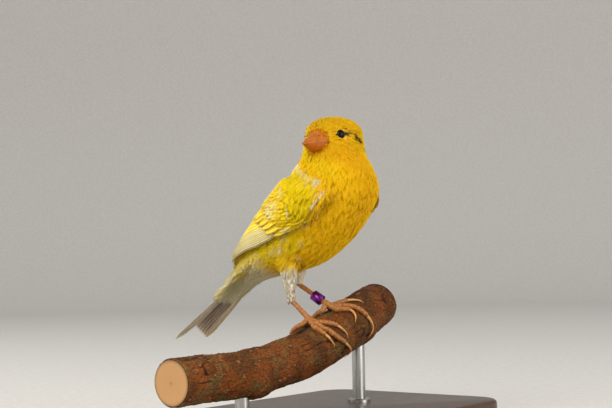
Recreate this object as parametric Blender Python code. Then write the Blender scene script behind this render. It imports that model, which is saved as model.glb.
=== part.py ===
"""A life-size yellow canary gripping a cut length of branch, held by a plain display stand.

Lengths are in millimetres and angles in degrees until solid() turns the points into metres. The bird faces -Y, its
left side is +X and +Z is up. The origin is the centre of the stand's underside. The head looks over the bird's
right side, a pose that the model keeps.
"""

from typing import NamedTuple

import bmesh
import bpy
import numpy as np

MM = 0.001
TINY = 1e-7  # edges shorter than this, in metres, are dropped
GAP = 0.3  # left between solids that touch
LEFT, RIGHT = 1, -1
CREASE = 40.0  # edges sharper than this angle stay sharp


class Section(NamedTuple):
    """A cross-section of the body. The spine runs from the tail coverts up to the brow."""

    forward: float
    height: float
    pitch: float  # climb of the spine here
    half_width: float
    back: float  # from the spine to the rump, back or nape
    front: float  # from the spine to the vent, belly, breast or face
    turn: float  # how far the section is turned to the bird's right


BODY = {
    "coverts": Section(-40.5, 54.0, 40, 6.4, 2.0, 2.6, 0),
    "tail_root": Section(-32.0, 60.0, 39, 8.8, 4.4, 5.0, 0),
    "rump": Section(-22.0, 65.8, 42, 12.6, 8.4, 9.6, 0),
    "flank": Section(-11.5, 71.0, 49, 15.8, 13.0, 13.6, 0),
    "belly": Section(-2.5, 77.4, 54, 17.3, 15.4, 14.8, 0),
    "breast": Section(4.5, 85.5, 64, 17.2, 15.6, 16.2, 0),
    "shoulder": Section(7.5, 93.0, 78, 16.5, 13.6, 17.0, 12),
    "neck": Section(8.0, 98.0, 88, 13.7, 12.8, 14.4, 48),
    "chin": Section(8.0, 102.0, 90, 11.4, 12.8, 12.6, 78),
    "face": Section(8.0, 105.6, 90, 10.5, 12.9, 12.4, 86),
    "brow": Section(8.0, 109.6, 90, 9.8, 12.4, 11.6, 86),
}
CROWN_RISE = 6.2  # from the brow to the crown
CROWN_LENGTH = 9.0  # that rise, measured along the spine's own scale
CROWN_FLAT = 0.05  # left off the crown's end, where the sections close to a point
BODY_SIDES = 32

# Where along the spine the body is parted, in millimetres from the coverts.
RUMP_ENDS = 25.5
TORSO_ENDS = 63.0
NECK_ENDS = 73.0
THROAT_AT = 67.0

EYE_HEIGHT, EYE_AROUND = 108.6, 52.0
EYE_RADIUS, EYE_OPENING = 1.95, 46.0  # the opening is the angle from the eye's axis to the lids' edge
EYE_PROUD = 0.15
LID_THICKNESS, LID_SPREAD, LID_POINT, LID_SIDES = 0.5, 30.0, 5.0, 14

BILL_ROOT, BILL_TIP = 9.0, 20.0  # from the middle of the head
BILL_HEIGHT, BILL_DROOP = 106.0, 1.6
BILL_HALF_WIDTH, UPPER_DEPTH, LOWER_DEPTH = 4.4, 4.9, 4.4
BILL_TAPER, LOWER_SHARE = 0.86, 0.94  # how much narrower at the tip, and the lower half's share of the length
MOUTH_GAP = 0.32
NOSTRIL_RADIUS, NOSTRIL_ACROSS, NOSTRIL_UP = 0.42, 0.72, 0.68
GAPE = ((106.4, 14.0), (105.0, 22.0), (104.0, 27.0))  # heights and angles round the head
GAPE_RADII = (0.4, 0.2)

WING_EDGE = ((60.5, 50.0), (49.5, 67.0), (40.5, 80.0), (29.5, 92.0), (14.5, 116.0), (6.5, 128.0))
WING_RIDGE = ((60.5, 132.0), (43.5, 152.0), (28.5, 165.0), (14.5, 170.0), (6.5, 172.0))
WING_EDGE_LIFT = ((60.5, 2.0), (49.5, 1.6), (40.5, 1.6), (29.5, 1.8), (14.5, 2.4), (6.5, 2.8))
WING_BULGE, WING_RIDGE_LIFT = 1.8, 2.2
WING_FRONT, WING_PAD_ENDS = 60.5, 35.0
WING_FRONT_SINK, WING_FRONT_RUN = 1.1, 3.5  # how deep, and over what length, the pad's front edge dips under
WING_INNER_LIFT = 0.42  # between the body and the wing's pad
PAD_DEPTH = 0.45  # of the pad's outer face below the feathers'
VANE_THICKNESS = 0.55
VANE_TILT = 0.42  # how far a vane's lower edge is raised and its upper edge sunk, so that it laps the vane below it
VANE_SHAPE = ((0, 0.3, 0.6, 0.85, 1), (0.75, 0.95, 1, 0.8, 0.3))  # width along a wing vane
ROOT_SINK, ROOT_SHARE = 0.7, 0.35  # how deep a vane's root dips, and over what share of its length


class Tier(NamedTuple):
    """A row of like feathers on the folded wing, from its lower edge to its ridge.

    Places are (along, across) pairs for the row's first and last feather.
    """

    count: int
    half_width: float
    first_root: tuple
    last_root: tuple
    first_tip: tuple
    last_tip: tuple
    first_lift: float
    last_lift: float
    stations: int


WING_TIERS = {
    "primaries": Tier(7, 2.2, (42.0, 0.05), (41.0, 0.27), (10.0, 0.04), (20.0, 0.46), -0.55, -0.25, 5),
    "secondaries": Tier(5, 2.6, (40.0, 0.35), (38.0, 0.72), (21.5, 0.54), (26.0, 0.8), -0.2, 0.0, 4),
    "tertials": Tier(3, 2.8, (38.5, 0.79), (39.5, 0.93), (27.0, 0.84), (33.0, 0.93), 0.1, 0.35, 4),
    "greater_coverts": Tier(7, 2.4, (46.5, 0.07), (42.0, 0.86), (39.0, 0.05), (34.0, 0.84), 0.35, 0.6, 3),
    "median_coverts": Tier(6, 2.6, (54.0, 0.12), (49.0, 0.86), (46.5, 0.10), (41.5, 0.84), 0.5, 0.7, 3),
    "scapulars": Tier(3, 2.9, (56.0, 0.86), (49.0, 0.95), (44.0, 0.84), (36.0, 0.93), 0.45, 0.6, 4),
    "alula": Tier(1, 1.3, (50.0, 0.03), (50.0, 0.03), (44.0, 0.0), (44.0, 0.0), 0.6, 0.6, 3),
}

TAIL_PITCH, TAIL_LENGTH = 35.0, 28.4
TAIL_FEATHERS = 6  # on each side
TAIL_TIP_SPACING, TAIL_ROOT_SPACING = 1.6, 0.7
TAIL_STEP = 0.36  # how far each feather lies below its inner neighbour
TAIL_FORK = 0.8  # how much longer each is than its inner neighbour
TAIL_VANE = 2.7
TAIL_VANE_SHAPE = ((0, 0.25, 0.5, 0.9, 1), (0.5, 0.8, 1, 0.95, 0.45))  # width along a tail vane
TAIL_VANE_START, TAIL_VANE_TILT = 1.2, 0.12
TAIL_TOP, TAIL_ARCH = 0.9, 0.25  # height of the middle pair, and the outer feathers' drop at their tips
TAIL_PLUG_SIDES = 16
TAIL_PLUG = (5.9, 1.9, 5.0)  # half width, half depth and length of the root that holds them

PERCH_ROUTE = (  # across, back, height and radius
    (-78.0, 0.5, 24.8, 7.8),
    (-45.0, 0.5, 25.2, 7.7),
    (-17.0, -0.5, 28.3, 8.1),
    (3.0, 0.0, 33.8, 8.8),
    (23.0, 1.5, 40.2, 8.8),
    (43.0, 3.6, 46.2, 8.3),
)
PERCH_SIDES, PERCH_RINGS = 20, 30
KNOTS = ((-40.0, 150.0, 1.8, 4.5), (-62.0, 60.0, 0.9, 4.0), (24.0, 165.0, 1.0, 4.0), (-22.0, 20.0, 0.6, 5.0))

THIGH_RADII = (4.6, 4.1, 3.5, 3.0, 2.5, 2.0, 1.6)
THIGH_BEND = 0.55  # share of the heel in the thigh's middle
HEEL_RADIUS, HEEL_LENGTH = 1.3, 0.8
TARSUS_RADIUS = 1.1
SCUTES, SCUTE_EDGE = 7, 1.12
RING_INNER, RING_OUTER, RING_HEIGHT, RING_AT, RING_HANG = 1.55, 2.05, 4.2, 0.69, 0.12
RING_SIDES = 24

# Each toe is a path over the perch: places along it and angles round it, 0 at the top and 90 at the bird's front.
FEET = {
    LEFT: {
        "joint": (6.1, 1.7, 47.2),
        "heel": (3.2, 12.2, 55.8),
        "hip": (5.0, 12.5, 66.0),
        "front_1": ((9.4, 14), (12.2, 27), (13.8, 40), (13.4, 53), (11.4, 66)),
        "front_2": ((11.6, 4), (16.2, 34), (18.6, 66), (20.8, 104), (19.0, 126)),
        "front_3": ((11.6, -12), (16.0, 0), (19.8, 14), (22.0, 28), (23.0, 40)),
        "hallux": ((7.2, -12), (8.0, -34), (8.6, -58), (9.0, -80), (9.4, -98)),
    },
    RIGHT: {
        "joint": (-6.6, 0.0, 42.0),
        "heel": (-8.1, 7.1, 50.1),
        "hip": (-8.8, 7.8, 66.0),
        "front_1": ((-3.6, 16), (0.4, 40), (2.6, 60), (3.8, 76), (4.0, 88)),
        "front_2": ((-4.6, 36), (-2.0, 68), (2.2, 96), (5.8, 122), (4.6, 142)),
        "front_3": ((-7.0, 26), (-6.4, 48), (-5.4, 66), (-4.6, 80), (-4.4, 90)),
        "hallux": ((-7.0, -12), (-6.6, -34), (-6.2, -58), (-6.0, -78), (-5.8, -96)),
    },
}
PAD_RADIUS = 1.6
TOE_RADII = (1.25, 1.1, 1.15, 0.95)
CLAW_RADII = (0.62, 0.5, 0.34, 0.12)
TOE_SHARE = 0.62  # of the path, the rest is claw
TOE_PADS, TOE_PAD_RISE = 2.2, 0.07  # how many swellings a toe has, and how much they add to its radius
HALLUX_START = 2.2  # from the joint

BASE_LENGTH, BASE_WIDTH, BASE_HEIGHT, BASE_CORNER, BASE_CHAMFER = 128.0, 84.0, 9.0, 12.0, 1.5
ROD_RADIUS, ROD_SOCKET, ROD_SIDES = 2.5, 4.0, 16
RODS = {"stand_rod_left": 26.0, "stand_rod_right": -44.0}

COATS = {  # colour, roughness, metallic
    "yellow_feather": ((0.86, 0.62, 0.03), 0.85, 0.0),
    "wing_feather": ((0.84, 0.7, 0.08), 0.8, 0.0),
    "pale_feather": ((0.83, 0.78, 0.52), 0.85, 0.0),
    "bill_horn": ((0.66, 0.36, 0.2), 0.45, 0.0),
    "eye_black": ((0.01, 0.008, 0.006), 0.08, 0.0),
    "leg_skin": ((0.62, 0.38, 0.22), 0.55, 0.0),
    "claw_horn": ((0.6, 0.44, 0.2), 0.4, 0.0),
    "ring_purple": ((0.27, 0.05, 0.3), 0.3, 1.0),
    "perch_bark": ((0.2, 0.1, 0.05), 0.9, 0.0),
    "stand_wood": ((0.09, 0.05, 0.03), 0.4, 0.0),
    "stand_steel": ((0.5, 0.5, 0.5), 0.3, 1.0),
}
SIDE_NAMES = {LEFT: "left", RIGHT: "right"}


# Curves and frames


def smooth(knots, values, at):
    """The smooth curve through values at the knots, with each slope set by the neighbouring values."""
    knots, values, at = (np.asarray(a, float) for a in (knots, values, at))
    slopes = np.gradient(values, knots, axis=0)
    i = np.clip(np.searchsorted(knots, at) - 1, 0, len(knots) - 2)
    step = knots[i + 1] - knots[i]
    t = (at - knots[i]) / step
    if values.ndim > 1:
        step, t = step[..., None], t[..., None]
    return (
        values[i] * (2 * t**3 - 3 * t**2 + 1)
        + values[i + 1] * (3 * t**2 - 2 * t**3)
        + slopes[i] * step * (t**3 - 2 * t**2 + t)
        + slopes[i + 1] * step * (t**3 - t**2)
    )


def through(points, count):
    """Evenly counted points of the smooth curve through the points."""
    return smooth(np.arange(len(points)), points, np.linspace(0, len(points) - 1, count))


def falling(pairs, at):
    """The straight-line curve through (along, value) pairs that run from the shoulder to the tail."""
    pairs = np.array(pairs)[::-1]
    return np.interp(at, pairs[:, 0], pairs[:, 1])


def unit(vectors):
    """The vectors at length one."""
    vectors = np.asarray(vectors, float)
    return vectors / np.linalg.norm(vectors, axis=-1, keepdims=True)


SECTIONS = np.array(list(BODY.values()))
STATIONS = np.concatenate([[0.0], np.cumsum(np.linalg.norm(np.diff(SECTIONS[:, :2], axis=0), axis=1))])
BROW_AT = STATIONS[-1]
CROWN_AT = BROW_AT + CROWN_LENGTH - CROWN_FLAT


def along_at(height):
    """Where along the spine the head's sections reach a height."""
    along = np.linspace(THROAT_AT, BROW_AT, 200)
    return np.interp(height, smooth(STATIONS, SECTIONS[:, 1], along), along)


def spine(along):
    """Centre, climb, left and back directions, and the three reaches of the section at each place along."""
    along = np.asarray(along, float)
    over = np.clip((along - BROW_AT) / CROWN_LENGTH, 0, 1) * np.pi / 2
    section = smooth(STATIONS, SECTIONS, np.minimum(along, BROW_AT))
    forward, height, pitch, *reach, turn = np.moveaxis(section, -1, 0)
    pitch, turn = np.radians(pitch), np.radians(turn)[..., None]
    none = np.zeros_like(pitch)
    centre = np.stack([none, -forward, height + CROWN_RISE * np.sin(over)], -1)
    climb = np.stack([none, -np.cos(pitch), np.sin(pitch)], -1)
    straight_back = np.stack([none, np.sin(pitch), np.cos(pitch)], -1)
    straight_left = np.zeros_like(climb)
    straight_left[..., 0] = 1.0
    left = straight_left * np.cos(turn) - straight_back * np.sin(turn)
    back = straight_back * np.cos(turn) + straight_left * np.sin(turn)
    return centre, climb, left, back, np.array(reach) * np.cos(over) ** 0.9


def body_point(along, around, lift=0.0):
    """A point of the body's surface, raised by lift. Around is 0 at the front, 90 at the left and 180 at the back."""
    along, around, lift = np.broadcast_arrays(*(np.asarray(a, float) for a in (along, around, lift)))

    def flat(a, v):
        centre, _, left, back, (half_width, reach_back, reach_front) = spine(a)
        v = np.radians(v)
        depth = -np.cos(v) * np.where(np.cos(v) > 0, reach_front, reach_back)
        return centre + left * (half_width * np.sin(v))[..., None] + back * depth[..., None]

    here = flat(along, around)
    if not lift.any():
        return here
    round_it = flat(along, around + 0.5) - flat(along, around - 0.5)
    up_it = flat(along + 0.05, around) - flat(along - 0.05, around)
    return here + unit(np.cross(round_it, up_it)) * lift[..., None]


def body_normal(along, around):
    """The outward direction of the body's surface."""
    return unit(body_point(along, around, 1.0) - body_point(along, around))


def perch_frame(across):
    """Centre, run, front and up directions and radius of the perch."""
    xs = [place[0] for place in PERCH_ROUTE]
    here = smooth(xs, PERCH_ROUTE, across)
    ahead = smooth(xs, PERCH_ROUTE, np.asarray(across) + 0.1) - smooth(xs, PERCH_ROUTE, np.asarray(across) - 0.1)
    run = unit(ahead[..., :3])
    front = unit(np.cross(run, (0, 0, 1.0)))
    return here[..., :3], run, front, np.cross(front, run), here[..., 3]


def perch_point(across, around, lift=0.0):
    """A point of the perch's bark, raised by lift. Around is 0 at the top and 90 at the bird's front."""
    across, around, lift = np.broadcast_arrays(*(np.asarray(a, float) for a in (across, around, lift)))
    centre, _, front, up, radius = perch_frame(across)
    for knot_across, knot_around, height, spread in KNOTS:
        turned = np.radians((around - knot_around + 180) % 360 - 180) * radius
        radius = radius + height * np.exp(-((across - knot_across) ** 2 + turned**2) / (2 * spread**2))
    reach = (radius + lift)[..., None]
    around = np.radians(around)[..., None]
    return centre + up * np.cos(around) * reach + front * np.sin(around) * reach


# Solids from points


def material(coat):
    """The named finish, made once."""
    found = bpy.data.materials.get(coat)
    if found:
        return found
    colour, roughness, metallic = COATS[coat]
    made = bpy.data.materials.new(coat)
    made.use_nodes = True
    shader = made.node_tree.nodes["Principled BSDF"]
    shader.inputs["Base Color"].default_value = (*colour, 1.0)
    shader.inputs["Roughness"].default_value = roughness
    shader.inputs["Metallic"].default_value = metallic
    return made


def solid(name, points, faces, coat):
    """An object from points in millimetres."""
    mesh = bpy.data.meshes.new(name)
    mesh.from_pydata((np.asarray(points, float) * MM).tolist(), [], [list(map(int, face)) for face in faces])
    mesh.update()
    made = bpy.data.objects.new(name, mesh)
    bpy.context.scene.collection.objects.link(made)
    made.data.materials.append(material(coat))
    return finish(made)


def finish(made):
    """Shades the object smooth between its creases."""
    made.data.shade_smooth()
    made.data.set_sharp_from_angle(angle=np.radians(CREASE))
    return made


def loft(name, rings, coat):
    """A closed body through rings of points that turn anticlockwise seen from ahead, capped flat at both ends."""
    rings = np.asarray(rings, float)
    count, sides = rings.shape[:2]
    first, last = count * sides, count * sides + 1
    points = np.concatenate([rings.reshape(-1, 3), [rings[0].mean(0)], [rings[-1].mean(0)]])
    faces = []
    for j in range(sides):
        after = (j + 1) % sides
        faces.append((after, j, first))
        faces.append(((count - 1) * sides + j, (count - 1) * sides + after, last))
        for k in range(count - 1):
            a, b = k * sides + j, k * sides + after
            faces += [(a, b, b + sides), (a, b + sides, a + sides)]
    return solid(name, points, faces, coat)


def slab(name, top, bottom, coat):
    """A closed plate between two grids of points. Both faces are split the same way, so that they never cross."""
    rows, columns = top.shape[:2]
    size = rows * columns
    faces = []
    for i in range(rows - 1):
        for j in range(columns - 1):
            a, b = i * columns + j, i * columns + j + 1
            c, d = b + columns, a + columns
            faces += [(a, b, c), (a, c, d), (b + size, a + size, c + size), (c + size, a + size, d + size)]
    rim = list(range(columns))
    rim += [i * columns + columns - 1 for i in range(1, rows)]
    rim += [(rows - 1) * columns + j for j in range(columns - 2, -1, -1)]
    rim += [i * columns for i in range(rows - 2, 0, -1)]
    for a, b in zip(rim, rim[1:] + rim[:1]):
        faces += [(b, a, a + size), (b, a + size, b + size)]
    return solid(name, np.concatenate([top.reshape(-1, 3), bottom.reshape(-1, 3)]), faces, coat)


def tube(name, path, radii, coat, sides=8, up=(0, 0, 1.0)):
    """A tapered tube along a path."""
    path, radii = np.asarray(path, float), np.asarray(radii, float)
    ahead = unit(np.gradient(path, axis=0))
    across = unit(np.cross(np.broadcast_to(up, ahead.shape), ahead))
    upright = np.cross(ahead, across)
    turn = np.arange(sides) * 2 * np.pi / sides
    ring = across[:, None] * np.cos(turn)[:, None] + upright[:, None] * np.sin(turn)[:, None]
    return loft(name, path[:, None] + ring * radii[:, None, None], coat)


def ball(name, centre, radius, coat, sides=16, rings=9):
    """A ball whose poles are small flats."""
    height = np.linspace(-88, 88, rings)
    path = np.asarray(centre) + np.outer(np.sin(np.radians(height)) * radius, (0, 0, 1.0))
    return tube(name, path, np.cos(np.radians(height)) * radius, coat, sides, up=(1.0, 0, 0))


def boolean(target, others, operation):
    """Joins others to the target or cuts them out of it, applies that and removes them."""
    group = bpy.data.collections.new("group")
    bpy.context.scene.collection.children.link(group)
    for other in others:
        group.objects.link(other)
    modifier = target.modifiers.new("join", "BOOLEAN")
    modifier.operand_type = "COLLECTION"
    modifier.collection = group
    modifier.operation = operation
    modifier.solver = "EXACT"
    bpy.context.view_layer.update()
    result = bpy.data.meshes.new_from_object(target.evaluated_get(bpy.context.evaluated_depsgraph_get()))
    target.modifiers.clear()
    target.data = result
    for other in others:
        bpy.data.objects.remove(other, do_unlink=True)
    bpy.data.collections.remove(group)
    keep_largest(result)
    return finish(target)


def keep_largest(mesh):
    """Drops every closed surface of the mesh but the largest."""
    work = bmesh.new()
    work.from_mesh(mesh)
    bmesh.ops.triangulate(work, faces=work.faces[:])
    bmesh.ops.dissolve_degenerate(work, edges=work.edges[:], dist=TINY)
    bmesh.ops.triangulate(work, faces=work.faces[:])
    unseen = set(work.faces)
    surfaces = []
    while unseen:
        surface, waiting = [], [unseen.pop()]
        while waiting:
            face = waiting.pop()
            surface.append(face)
            for edge in face.edges:
                for beside in edge.link_faces:
                    if beside in unseen:
                        unseen.remove(beside)
                        waiting.append(beside)
        surfaces.append(surface)

    def size(surface):
        corners = ([v.co for v in face.verts] for face in surface)
        return abs(sum(a.dot(b.cross(c)) for a, b, c in corners))

    surfaces.sort(key=size)
    scraps = [face for surface in surfaces[:-1] for face in surface]
    bmesh.ops.delete(work, geom=scraps, context="FACES")
    bmesh.ops.delete(work, geom=[v for v in work.verts if not v.link_faces], context="VERTS")
    work.to_mesh(mesh)
    work.free()


# The body


def body_length(name, start, end, rings, coat, lift=0.0):
    """The stretch of the body between two places along the spine."""
    around = np.arange(BODY_SIDES) * 360 / BODY_SIDES
    along = np.linspace(start, end, rings)
    return loft(name, body_point(along[:, None], around, lift), coat)


def head():
    """The head with its sockets, lids and the corners of the mouth."""
    made = body_length("head", NECK_ENDS + GAP, CROWN_AT, 11, "yellow_feather")
    lids, sockets = [], []
    for side in (LEFT, RIGHT):
        lids.append(lid_ring(side))
        sockets.append(ball("socket", eye_centre(side), EYE_RADIUS + GAP, "eye_black", 16, 9))
        gape = body_point(*through([(along_at(height), side * v) for height, v in GAPE], 6).T)
        sockets.append(tube("gape", gape, np.linspace(*GAPE_RADII, 6), "bill_horn", 6))
    boolean(made, lids, "UNION")
    boolean(made, sockets, "DIFFERENCE")


def eye_centre(side):
    """The middle of an eyeball."""
    return body_point(along_at(EYE_HEIGHT), side * EYE_AROUND, EYE_PROUD - EYE_RADIUS)


def lid_ring(side):
    """Upper and lower lid in one ring over the eyeball, a little pointed fore and aft."""
    out = body_normal(along_at(EYE_HEIGHT), side * EYE_AROUND)
    fore = unit(np.cross((0, 0, side * 1.0), out))
    up = np.cross(out, fore) * side
    turn = np.arange(LID_SIDES) * 2 * np.pi / LID_SIDES
    opening = EYE_OPENING + LID_POINT * np.abs(np.cos(turn)) ** 3
    inner, outer = EYE_RADIUS + GAP / 2, EYE_RADIUS + GAP + LID_THICKNESS
    rings = []
    for radius, angle in ((inner, opening), (outer, opening), (outer, opening + LID_SPREAD), (inner, opening + LID_SPREAD)):
        angle = np.radians(angle)[:, None]
        spoke = fore * np.cos(turn)[:, None] + up * np.sin(turn)[:, None]
        rings.append(eye_centre(side) + radius * (out * np.cos(angle) + spoke * np.sin(angle)))
    return hoop("lid", np.array(rings), "yellow_feather")


def hoop(name, rings, coat):
    """A closed ring, swept through rings of points that follow each other round its section."""
    count, sides = rings.shape[:2]
    faces = []
    for k in range(count):
        for j in range(sides):
            a, b = k * sides + j, k * sides + (j + 1) % sides
            c, d = (k + 1) % count * sides + (j + 1) % sides, (k + 1) % count * sides + j
            faces += [(a, b, c), (a, c, d)]
    made = solid(name, rings.reshape(-1, 3), faces, coat)
    work = bmesh.new()
    work.from_mesh(made.data)
    bmesh.ops.recalc_face_normals(work, faces=work.faces[:])
    work.to_mesh(made.data)
    work.free()
    return made


def bill():
    """The two halves of the bill, cut to the face, with the mouth's line between them."""
    centre, _, left, back, _ = spine(along_at(BILL_HEIGHT))
    ahead = -back
    upright = np.array([0, 0, 1.0])
    arc = np.radians(np.linspace(0, 180, 9))
    for name, depth, end, bend in (("bill_upper", UPPER_DEPTH, 1.0, 1), ("bill_lower", -LOWER_DEPTH, LOWER_SHARE, -1)):
        t = np.linspace(0, 1, 9)
        reach = BILL_ROOT + (BILL_TIP - BILL_ROOT) * t * end
        line = BILL_HEIGHT - BILL_DROOP * t * end - centre[2] + bend * MOUTH_GAP / 2
        narrow = np.sqrt(np.clip(1 - t**1.5, 0.012, 1))
        axis = centre + ahead * reach[:, None] + upright * line[:, None]
        side_reach = BILL_HALF_WIDTH * (1 - BILL_TAPER * t) * narrow ** 0.3
        deep = depth * (1 - BILL_TAPER * t) * narrow ** 0.5
        rings = axis[:, None] + left * (side_reach[:, None] * np.cos(arc))[..., None]
        rings = rings + upright * (deep[:, None] * np.sin(arc))[..., None]
        half = loft(name, rings[:, ::-bend], "bill_horn")
        cutters = [body_length("face", THROAT_AT, CROWN_AT, 14, "yellow_feather", GAP)]
        if bend > 0:
            for side in (LEFT, RIGHT):
                spot = axis[4] + left * side * side_reach[4] * NOSTRIL_ACROSS + upright * deep[4] * NOSTRIL_UP
                cutters.append(ball("nostril", spot, NOSTRIL_RADIUS, "bill_horn", 8, 5))
        boolean(half, cutters, "DIFFERENCE")


# The wings


def wing_lift(along, across):
    """How far the folded wing's outer face stands off the body. Across is 0 at its lower edge and 1 at its ridge."""
    edge = falling(WING_EDGE_LIFT, along)
    ridge = WING_RIDGE_LIFT + np.clip(20 - along, 0, 12) * 0.25
    return edge + (ridge - edge) * across + WING_BULGE * np.sin(np.pi * np.clip(across, 0, 1) ** 0.8)


def wing_around(along, across):
    """The angle round the body at a place across the folded wing."""
    edge, ridge = falling(WING_EDGE, along), falling(WING_RIDGE, along)
    return edge + (ridge - edge) * across


def wing_point(side, along, across, lift=0.0):
    """A place on the folded wing's outer face, raised by lift."""
    return body_point(along, wing_around(along, across) * side, wing_lift(along, across) + lift)


def vane(path, out, half_widths, tilt, thicknesses):
    """One feather as a thin closed blade along a path, with out its outward directions."""
    run = unit(np.gradient(path, axis=0))
    across = unit(np.cross(out, run))
    edge = across * np.asarray(half_widths)[:, None]
    lap = out * tilt
    middle = np.stack([path - edge + lap, path + edge - lap], 1)
    half = (out * np.asarray(thicknesses)[:, None] / 2)[:, None]
    return slab("vane", middle - half, middle + half, "wing_feather")


def wing(side):
    """One folded wing: a thin pad that carries the tiers of flight feathers and coverts."""
    along = np.linspace(WING_FRONT, WING_PAD_ENDS, 7)[:, None]
    across = np.linspace(0.03, 0.97, 7)
    dip = np.clip(1 - (WING_FRONT - along) / WING_FRONT_RUN, 0, 1)
    top = wing_point(side, along, across, -PAD_DEPTH - WING_FRONT_SINK * dip)
    bottom = body_point(along, wing_around(along, across) * side, WING_INNER_LIFT)
    if side == LEFT:
        top, bottom = bottom, top
    pad = slab("wing_" + SIDE_NAMES[side], top, bottom, "wing_feather")
    boolean(pad, [made for tier in WING_TIERS.values() for made in tier_vanes(side, tier)], "UNION")


def tier_vanes(side, tier):
    """The feathers of one tier."""
    made = []
    t = np.linspace(0, 1, tier.stations)
    width = np.interp(t, *VANE_SHAPE) * tier.half_width
    for place in np.linspace(0, 1, tier.count):
        root = np.array(tier.first_root) * (1 - place) + np.array(tier.last_root) * place
        tip = np.array(tier.first_tip) * (1 - place) + np.array(tier.last_tip) * place
        lift = tier.first_lift * (1 - place) + tier.last_lift * place
        along, across = (root + (tip - root) * t[:, None]).T
        lift = lift - ROOT_SINK * np.clip(1 - t / ROOT_SHARE, 0, 1)
        path = wing_point(side, along, across, lift)
        out = unit(wing_point(side, along, across, lift + 1) - path)
        thickness = VANE_THICKNESS * np.interp(t, (0, 0.85, 1), (1, 1, 0.7))
        made.append(vane(path, out, width, side * VANE_TILT, thickness))
    return made


def tail():
    """Twelve feathers in a shallow fork, each lying under its inner neighbour, in one root."""
    pitch = np.radians(TAIL_PITCH)
    away = np.array([0, np.cos(pitch), -np.sin(pitch)])
    over = np.array([0, np.sin(pitch), np.cos(pitch)])
    aside = np.array([1.0, 0, 0])
    start = body_point(0, 0) * 0.5 + body_point(0, 180) * 0.5
    half_width, half_depth, length = TAIL_PLUG
    turn = np.arange(TAIL_PLUG_SIDES) * 2 * np.pi / TAIL_PLUG_SIDES
    ring = aside * (half_width * np.cos(turn))[:, None] - over * (half_depth * np.sin(turn))[:, None]
    rings = [start + away * reach + ring * shrink for reach, shrink in ((GAP, 1), (length * 0.6, 1), (length, 0.8))]
    plug = loft("tail", rings, "wing_feather")
    vanes = []
    t = np.linspace(0, 1, 5)
    width = np.interp(t, *TAIL_VANE_SHAPE) * TAIL_VANE
    for side in (LEFT, RIGHT):
        for place in range(TAIL_FEATHERS):
            reach = TAIL_VANE_START + t * (TAIL_LENGTH + TAIL_FORK * place - TAIL_VANE_START)
            spread = (place + 0.5) * (TAIL_ROOT_SPACING + (TAIL_TIP_SPACING - TAIL_ROOT_SPACING) * t) * side
            drop = TAIL_TOP - TAIL_STEP * (place + side / 3) - TAIL_ARCH * place * t
            path = start + away * reach[:, None] + aside * spread[:, None] + over * drop[:, None]
            out = np.broadcast_to(over, path.shape)
            vanes.append(vane(path, out, width, -side * TAIL_VANE_TILT, np.full(5, VANE_THICKNESS)))
    boolean(plug, vanes, "UNION")


# Legs and feet


def leg(side):
    """Thigh, tarsus, foot, hallux and claws of one side."""
    name, foot = SIDE_NAMES[side], FEET[side]
    hip, heel, joint = (np.array(foot[key]) for key in ("hip", "heel", "joint"))
    path = through([hip, hip + (heel - hip) * THIGH_BEND, heel], 7)
    thigh = tube("thigh_" + name, path, THIGH_RADII, "pale_feather", 12, up=(1.0, 0, 0))
    boolean(thigh, [body_length("skin", 4.0, 60.0, 20, "yellow_feather", GAP)], "DIFFERENCE")
    ahead = unit(path[-1] - path[-2])
    start = heel + ahead * (GAP + HEEL_LENGTH)
    shin = unit(joint - start)
    shin_path, radii = [heel + ahead * GAP, start], [HEEL_RADIUS, HEEL_RADIUS]
    length = np.linalg.norm(joint - start) - PAD_RADIUS - GAP
    for k in range(SCUTES):
        for t, radius in ((k + 0.3, SCUTE_EDGE), (k + 1.0, 1.0)):
            shin_path.append(start + shin * (length * t / SCUTES))
            radii.append(TARSUS_RADIUS * radius)
    tube("tarsus_" + name, shin_path, radii, "leg_skin", 10, up=(1.0, 0, 0))
    if side == LEFT:
        leg_ring(start, joint)
    pad = ball("foot_" + name, joint, PAD_RADIUS, "leg_skin", 12, 7)
    toes = []
    for key in ("front_1", "front_2", "front_3"):
        toes.append(toe(key, foot[key], joint, name))
    boolean(pad, toes, "UNION")
    toe("hallux", foot["hallux"], joint, name)


def toe(key, route, joint, name):
    """One toe from the joint over the perch, and its claw."""
    across, around = through(route, 25).T
    swell = np.interp(np.linspace(0, 1, 25), (0, 0.2, 0.4, TOE_SHARE), TOE_RADII)
    over = perch_point(across, around, swell + GAP)
    path = np.concatenate([through([joint, over[0]], 4)[:-1], over])
    away = np.concatenate([[0], np.cumsum(np.linalg.norm(np.diff(path, axis=0), axis=1))])
    ends = away[-1] * TOE_SHARE
    first = HALLUX_START if key == "hallux" else 0.0
    toe_at = np.linspace(first, ends, 8)
    bumps = 1 + TOE_PAD_RISE * np.sin(np.linspace(0, 2 * np.pi * TOE_PADS, 8))
    radii = np.interp(toe_at / away[-1], (0, 0.2, 0.4, TOE_SHARE), TOE_RADII) * bumps
    made = tube(
        "hallux_" + name if key == "hallux" else key,
        np.stack([np.interp(toe_at, away, path[:, i]) for i in range(3)], -1), radii, "leg_skin", 7, up=(1.0, 0.2, 0),
    )
    claw_at = np.linspace(ends + GAP, away[-1], 6)
    claw_radii = np.interp(np.linspace(0, 1, 6), (0, 0.3, 0.7, 1), CLAW_RADII)
    claw_path = np.stack([np.interp(claw_at, away, path[:, i]) for i in range(3)], -1)
    tube("claw_" + name + "_" + key, claw_path, claw_radii, "claw_horn", 6, up=(1.0, 0.2, 0))
    return made


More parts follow.
